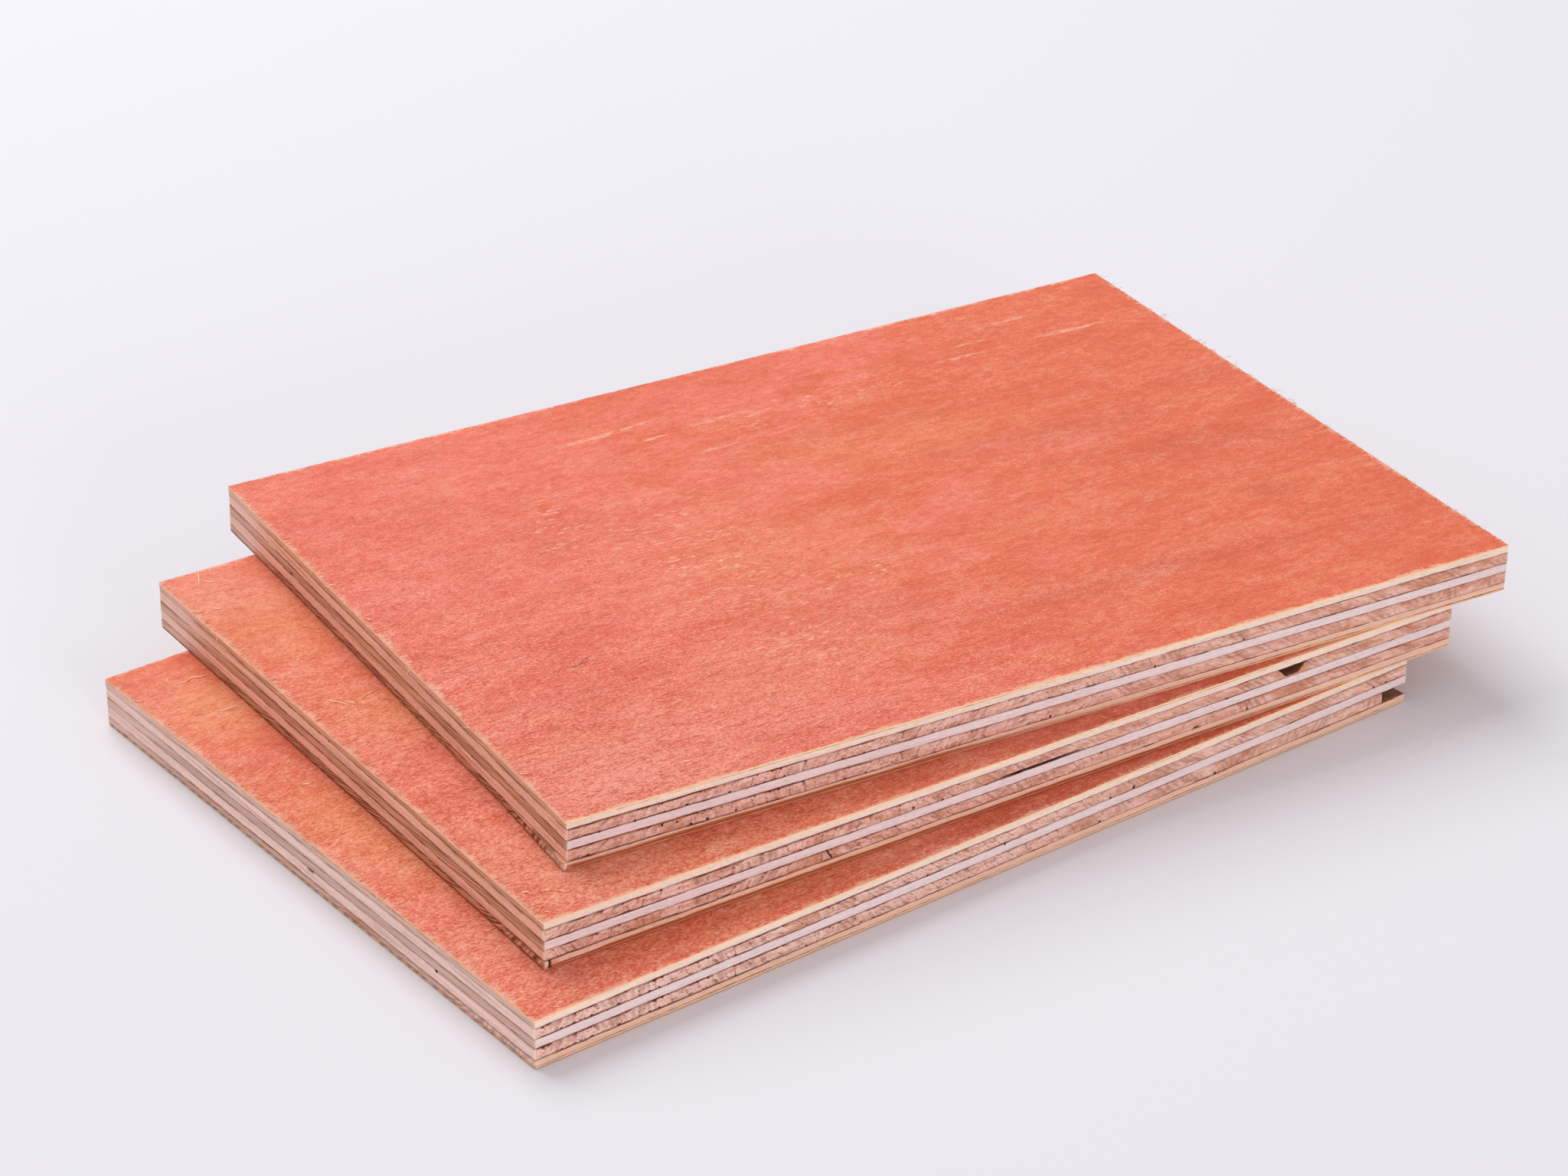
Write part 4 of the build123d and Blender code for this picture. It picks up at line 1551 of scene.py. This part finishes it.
# The floor in metres, the even sky, and the lamps: a name, a place and a size in metres, and a power
# in watts
FLOOR_HALF, FLOOR_DROP = 6.0, 0.0002
SKY_COLOUR, SKY_STRENGTH, BACKDROP_STRENGTH = (0.97, 0.965, 0.98), 0.57, 0.9
LAMPS = (
    ("key_lamp", (0.0, 1.4, 1.85), 1.8, 33.0),
    ("fill_lamp", (-0.3, -1.9, 0.42), 0.7, 12.0),
)


class PLYWOOD_OT_stage(bpy.types.Operator):
    """Make the floor, the light and the camera"""

    bl_idname = "plywood.stage"
    bl_label = "Stage"
    bl_options = {"REGISTER", "UNDO"}

    def execute(self, context):
        """Lay the floor, light the scene and aim the camera."""
        scene = context.scene
        scene.view_settings.view_transform = "Standard"
        self.lay_floor(scene)
        self.light(scene)
        self.aim_camera(scene)
        return {"FINISHED"}

    def lay_floor(self, scene):
        """A plain floor just under the stack."""
        finish = Finish("stage_floor", 0.85)
        mesh = bpy.data.meshes.new("stage_floor")
        corners = [(x * FLOOR_HALF, y * FLOOR_HALF, -FLOOR_DROP) for x, y in CORNERS]
        mesh.from_pydata(corners, [], [(0, 1, 2, 3)])
        mesh.materials.append(finish.paint(scene.plywood_colours.floor))
        floor = bpy.data.objects.new("stage_floor", mesh)
        scene.collection.objects.link(floor)

    def light(self, scene):
        """An even sky, a large soft lamp above and behind, and a weak one low in front."""
        world = bpy.data.worlds.new("studio")
        world.use_nodes = True
        sky = NodeTree(world.node_tree)
        seen = sky.node("ShaderNodeLightPath", None, None, "Is Camera Ray")
        sockets = {"Value": seen, "To Min": SKY_STRENGTH, "To Max": BACKDROP_STRENGTH}
        strength = sky.node("ShaderNodeMapRange", None, sockets)
        background = sky.node("ShaderNodeBackground", None, {"Color": SKY_COLOUR, "Strength": strength})
        sky.node("ShaderNodeOutputWorld", None, {"Surface": background})
        scene.world = world
        for name, place, size, power in LAMPS:
            lamp = bpy.data.objects.new(name, bpy.data.lights.new(name, "AREA"))
            lamp.data.energy = power
            lamp.data.size = size
            lamp.location = place
            lamp.rotation_euler = (-Vector(place)).to_track_quat("-Z", "Y").to_euler()
            scene.collection.objects.link(lamp)

    def aim_camera(self, scene):
        """The camera at the angle from which the stack is seen."""
        yaw, pitch, roll = (math.radians(a) for a in (CAMERA_YAW, CAMERA_PITCH, CAMERA_ROLL))
        flat = math.cos(pitch)
        forward = Vector((-math.sin(yaw) * flat, math.cos(yaw) * flat, -math.sin(pitch)))
        level = Vector((math.cos(yaw), math.sin(yaw), 0))
        upward = level.cross(forward)
        right = math.cos(roll) * level + math.sin(roll) * upward
        upward = math.cos(roll) * upward - math.sin(roll) * level
        data = bpy.data.cameras.new("camera")
        data.lens = CAMERA_LENS
        data.sensor_width = CAMERA_SENSOR
        camera = bpy.data.objects.new("camera", data)
        axes = Matrix((right, upward, -forward)).transposed()
        camera.matrix_world = Matrix.Translation(Vector(CAMERA_PLACE) * MM) @ axes.to_4x4()
        scene.collection.objects.link(camera)
        scene.camera = camera


OPERATORS = (
    PLYWOOD_OT_stage, PLYWOOD_OT_face_veneers, PLYWOOD_OT_long_plies, PLYWOOD_OT_cross_plies,
    PLYWOOD_OT_back_veneers, PLYWOOD_OT_loose_fibres,
)


class PLYWOOD_PT_panel(bpy.types.Panel):
    """The operators, sizes and colours in the sidebar"""

    bl_idname = "PLYWOOD_PT_panel"
    bl_label = "Plywood Stack"
    bl_space_type = "VIEW_3D"
    bl_region_type = "UI"
    bl_category = "Plywood"

    def draw(self, context):
        """A button for each operator, then the sizes and the colours."""
        for operator in OPERATORS:
            self.layout.operator(operator.bl_idname)
        for group in (context.scene.plywood_sizes, context.scene.plywood_colours):
            box = self.layout.box()
            for name in type(group).__annotations__:
                box.prop(group, name)


CLASSES = (PlywoodSizes, PlywoodColours, *OPERATORS, PLYWOOD_PT_panel)


def register():
    """Make the classes and the scene's properties known to Blender."""
    for cls in CLASSES:
        bpy.utils.register_class(cls)
    bpy.types.Scene.plywood_sizes = bpy.props.PointerProperty(type=PlywoodSizes)
    bpy.types.Scene.plywood_colours = bpy.props.PointerProperty(type=PlywoodColours)


def unregister():
    """Take them away again."""
    del bpy.types.Scene.plywood_colours
    del bpy.types.Scene.plywood_sizes
    for cls in reversed(CLASSES):
        bpy.utils.unregister_class(cls)


def main():
    """Build the stage and every piece."""
    register()
    for operator in OPERATORS:
        getattr(bpy.ops.plywood, operator.bl_idname.split(".")[1])()


if __name__ == "__main__":
    main()
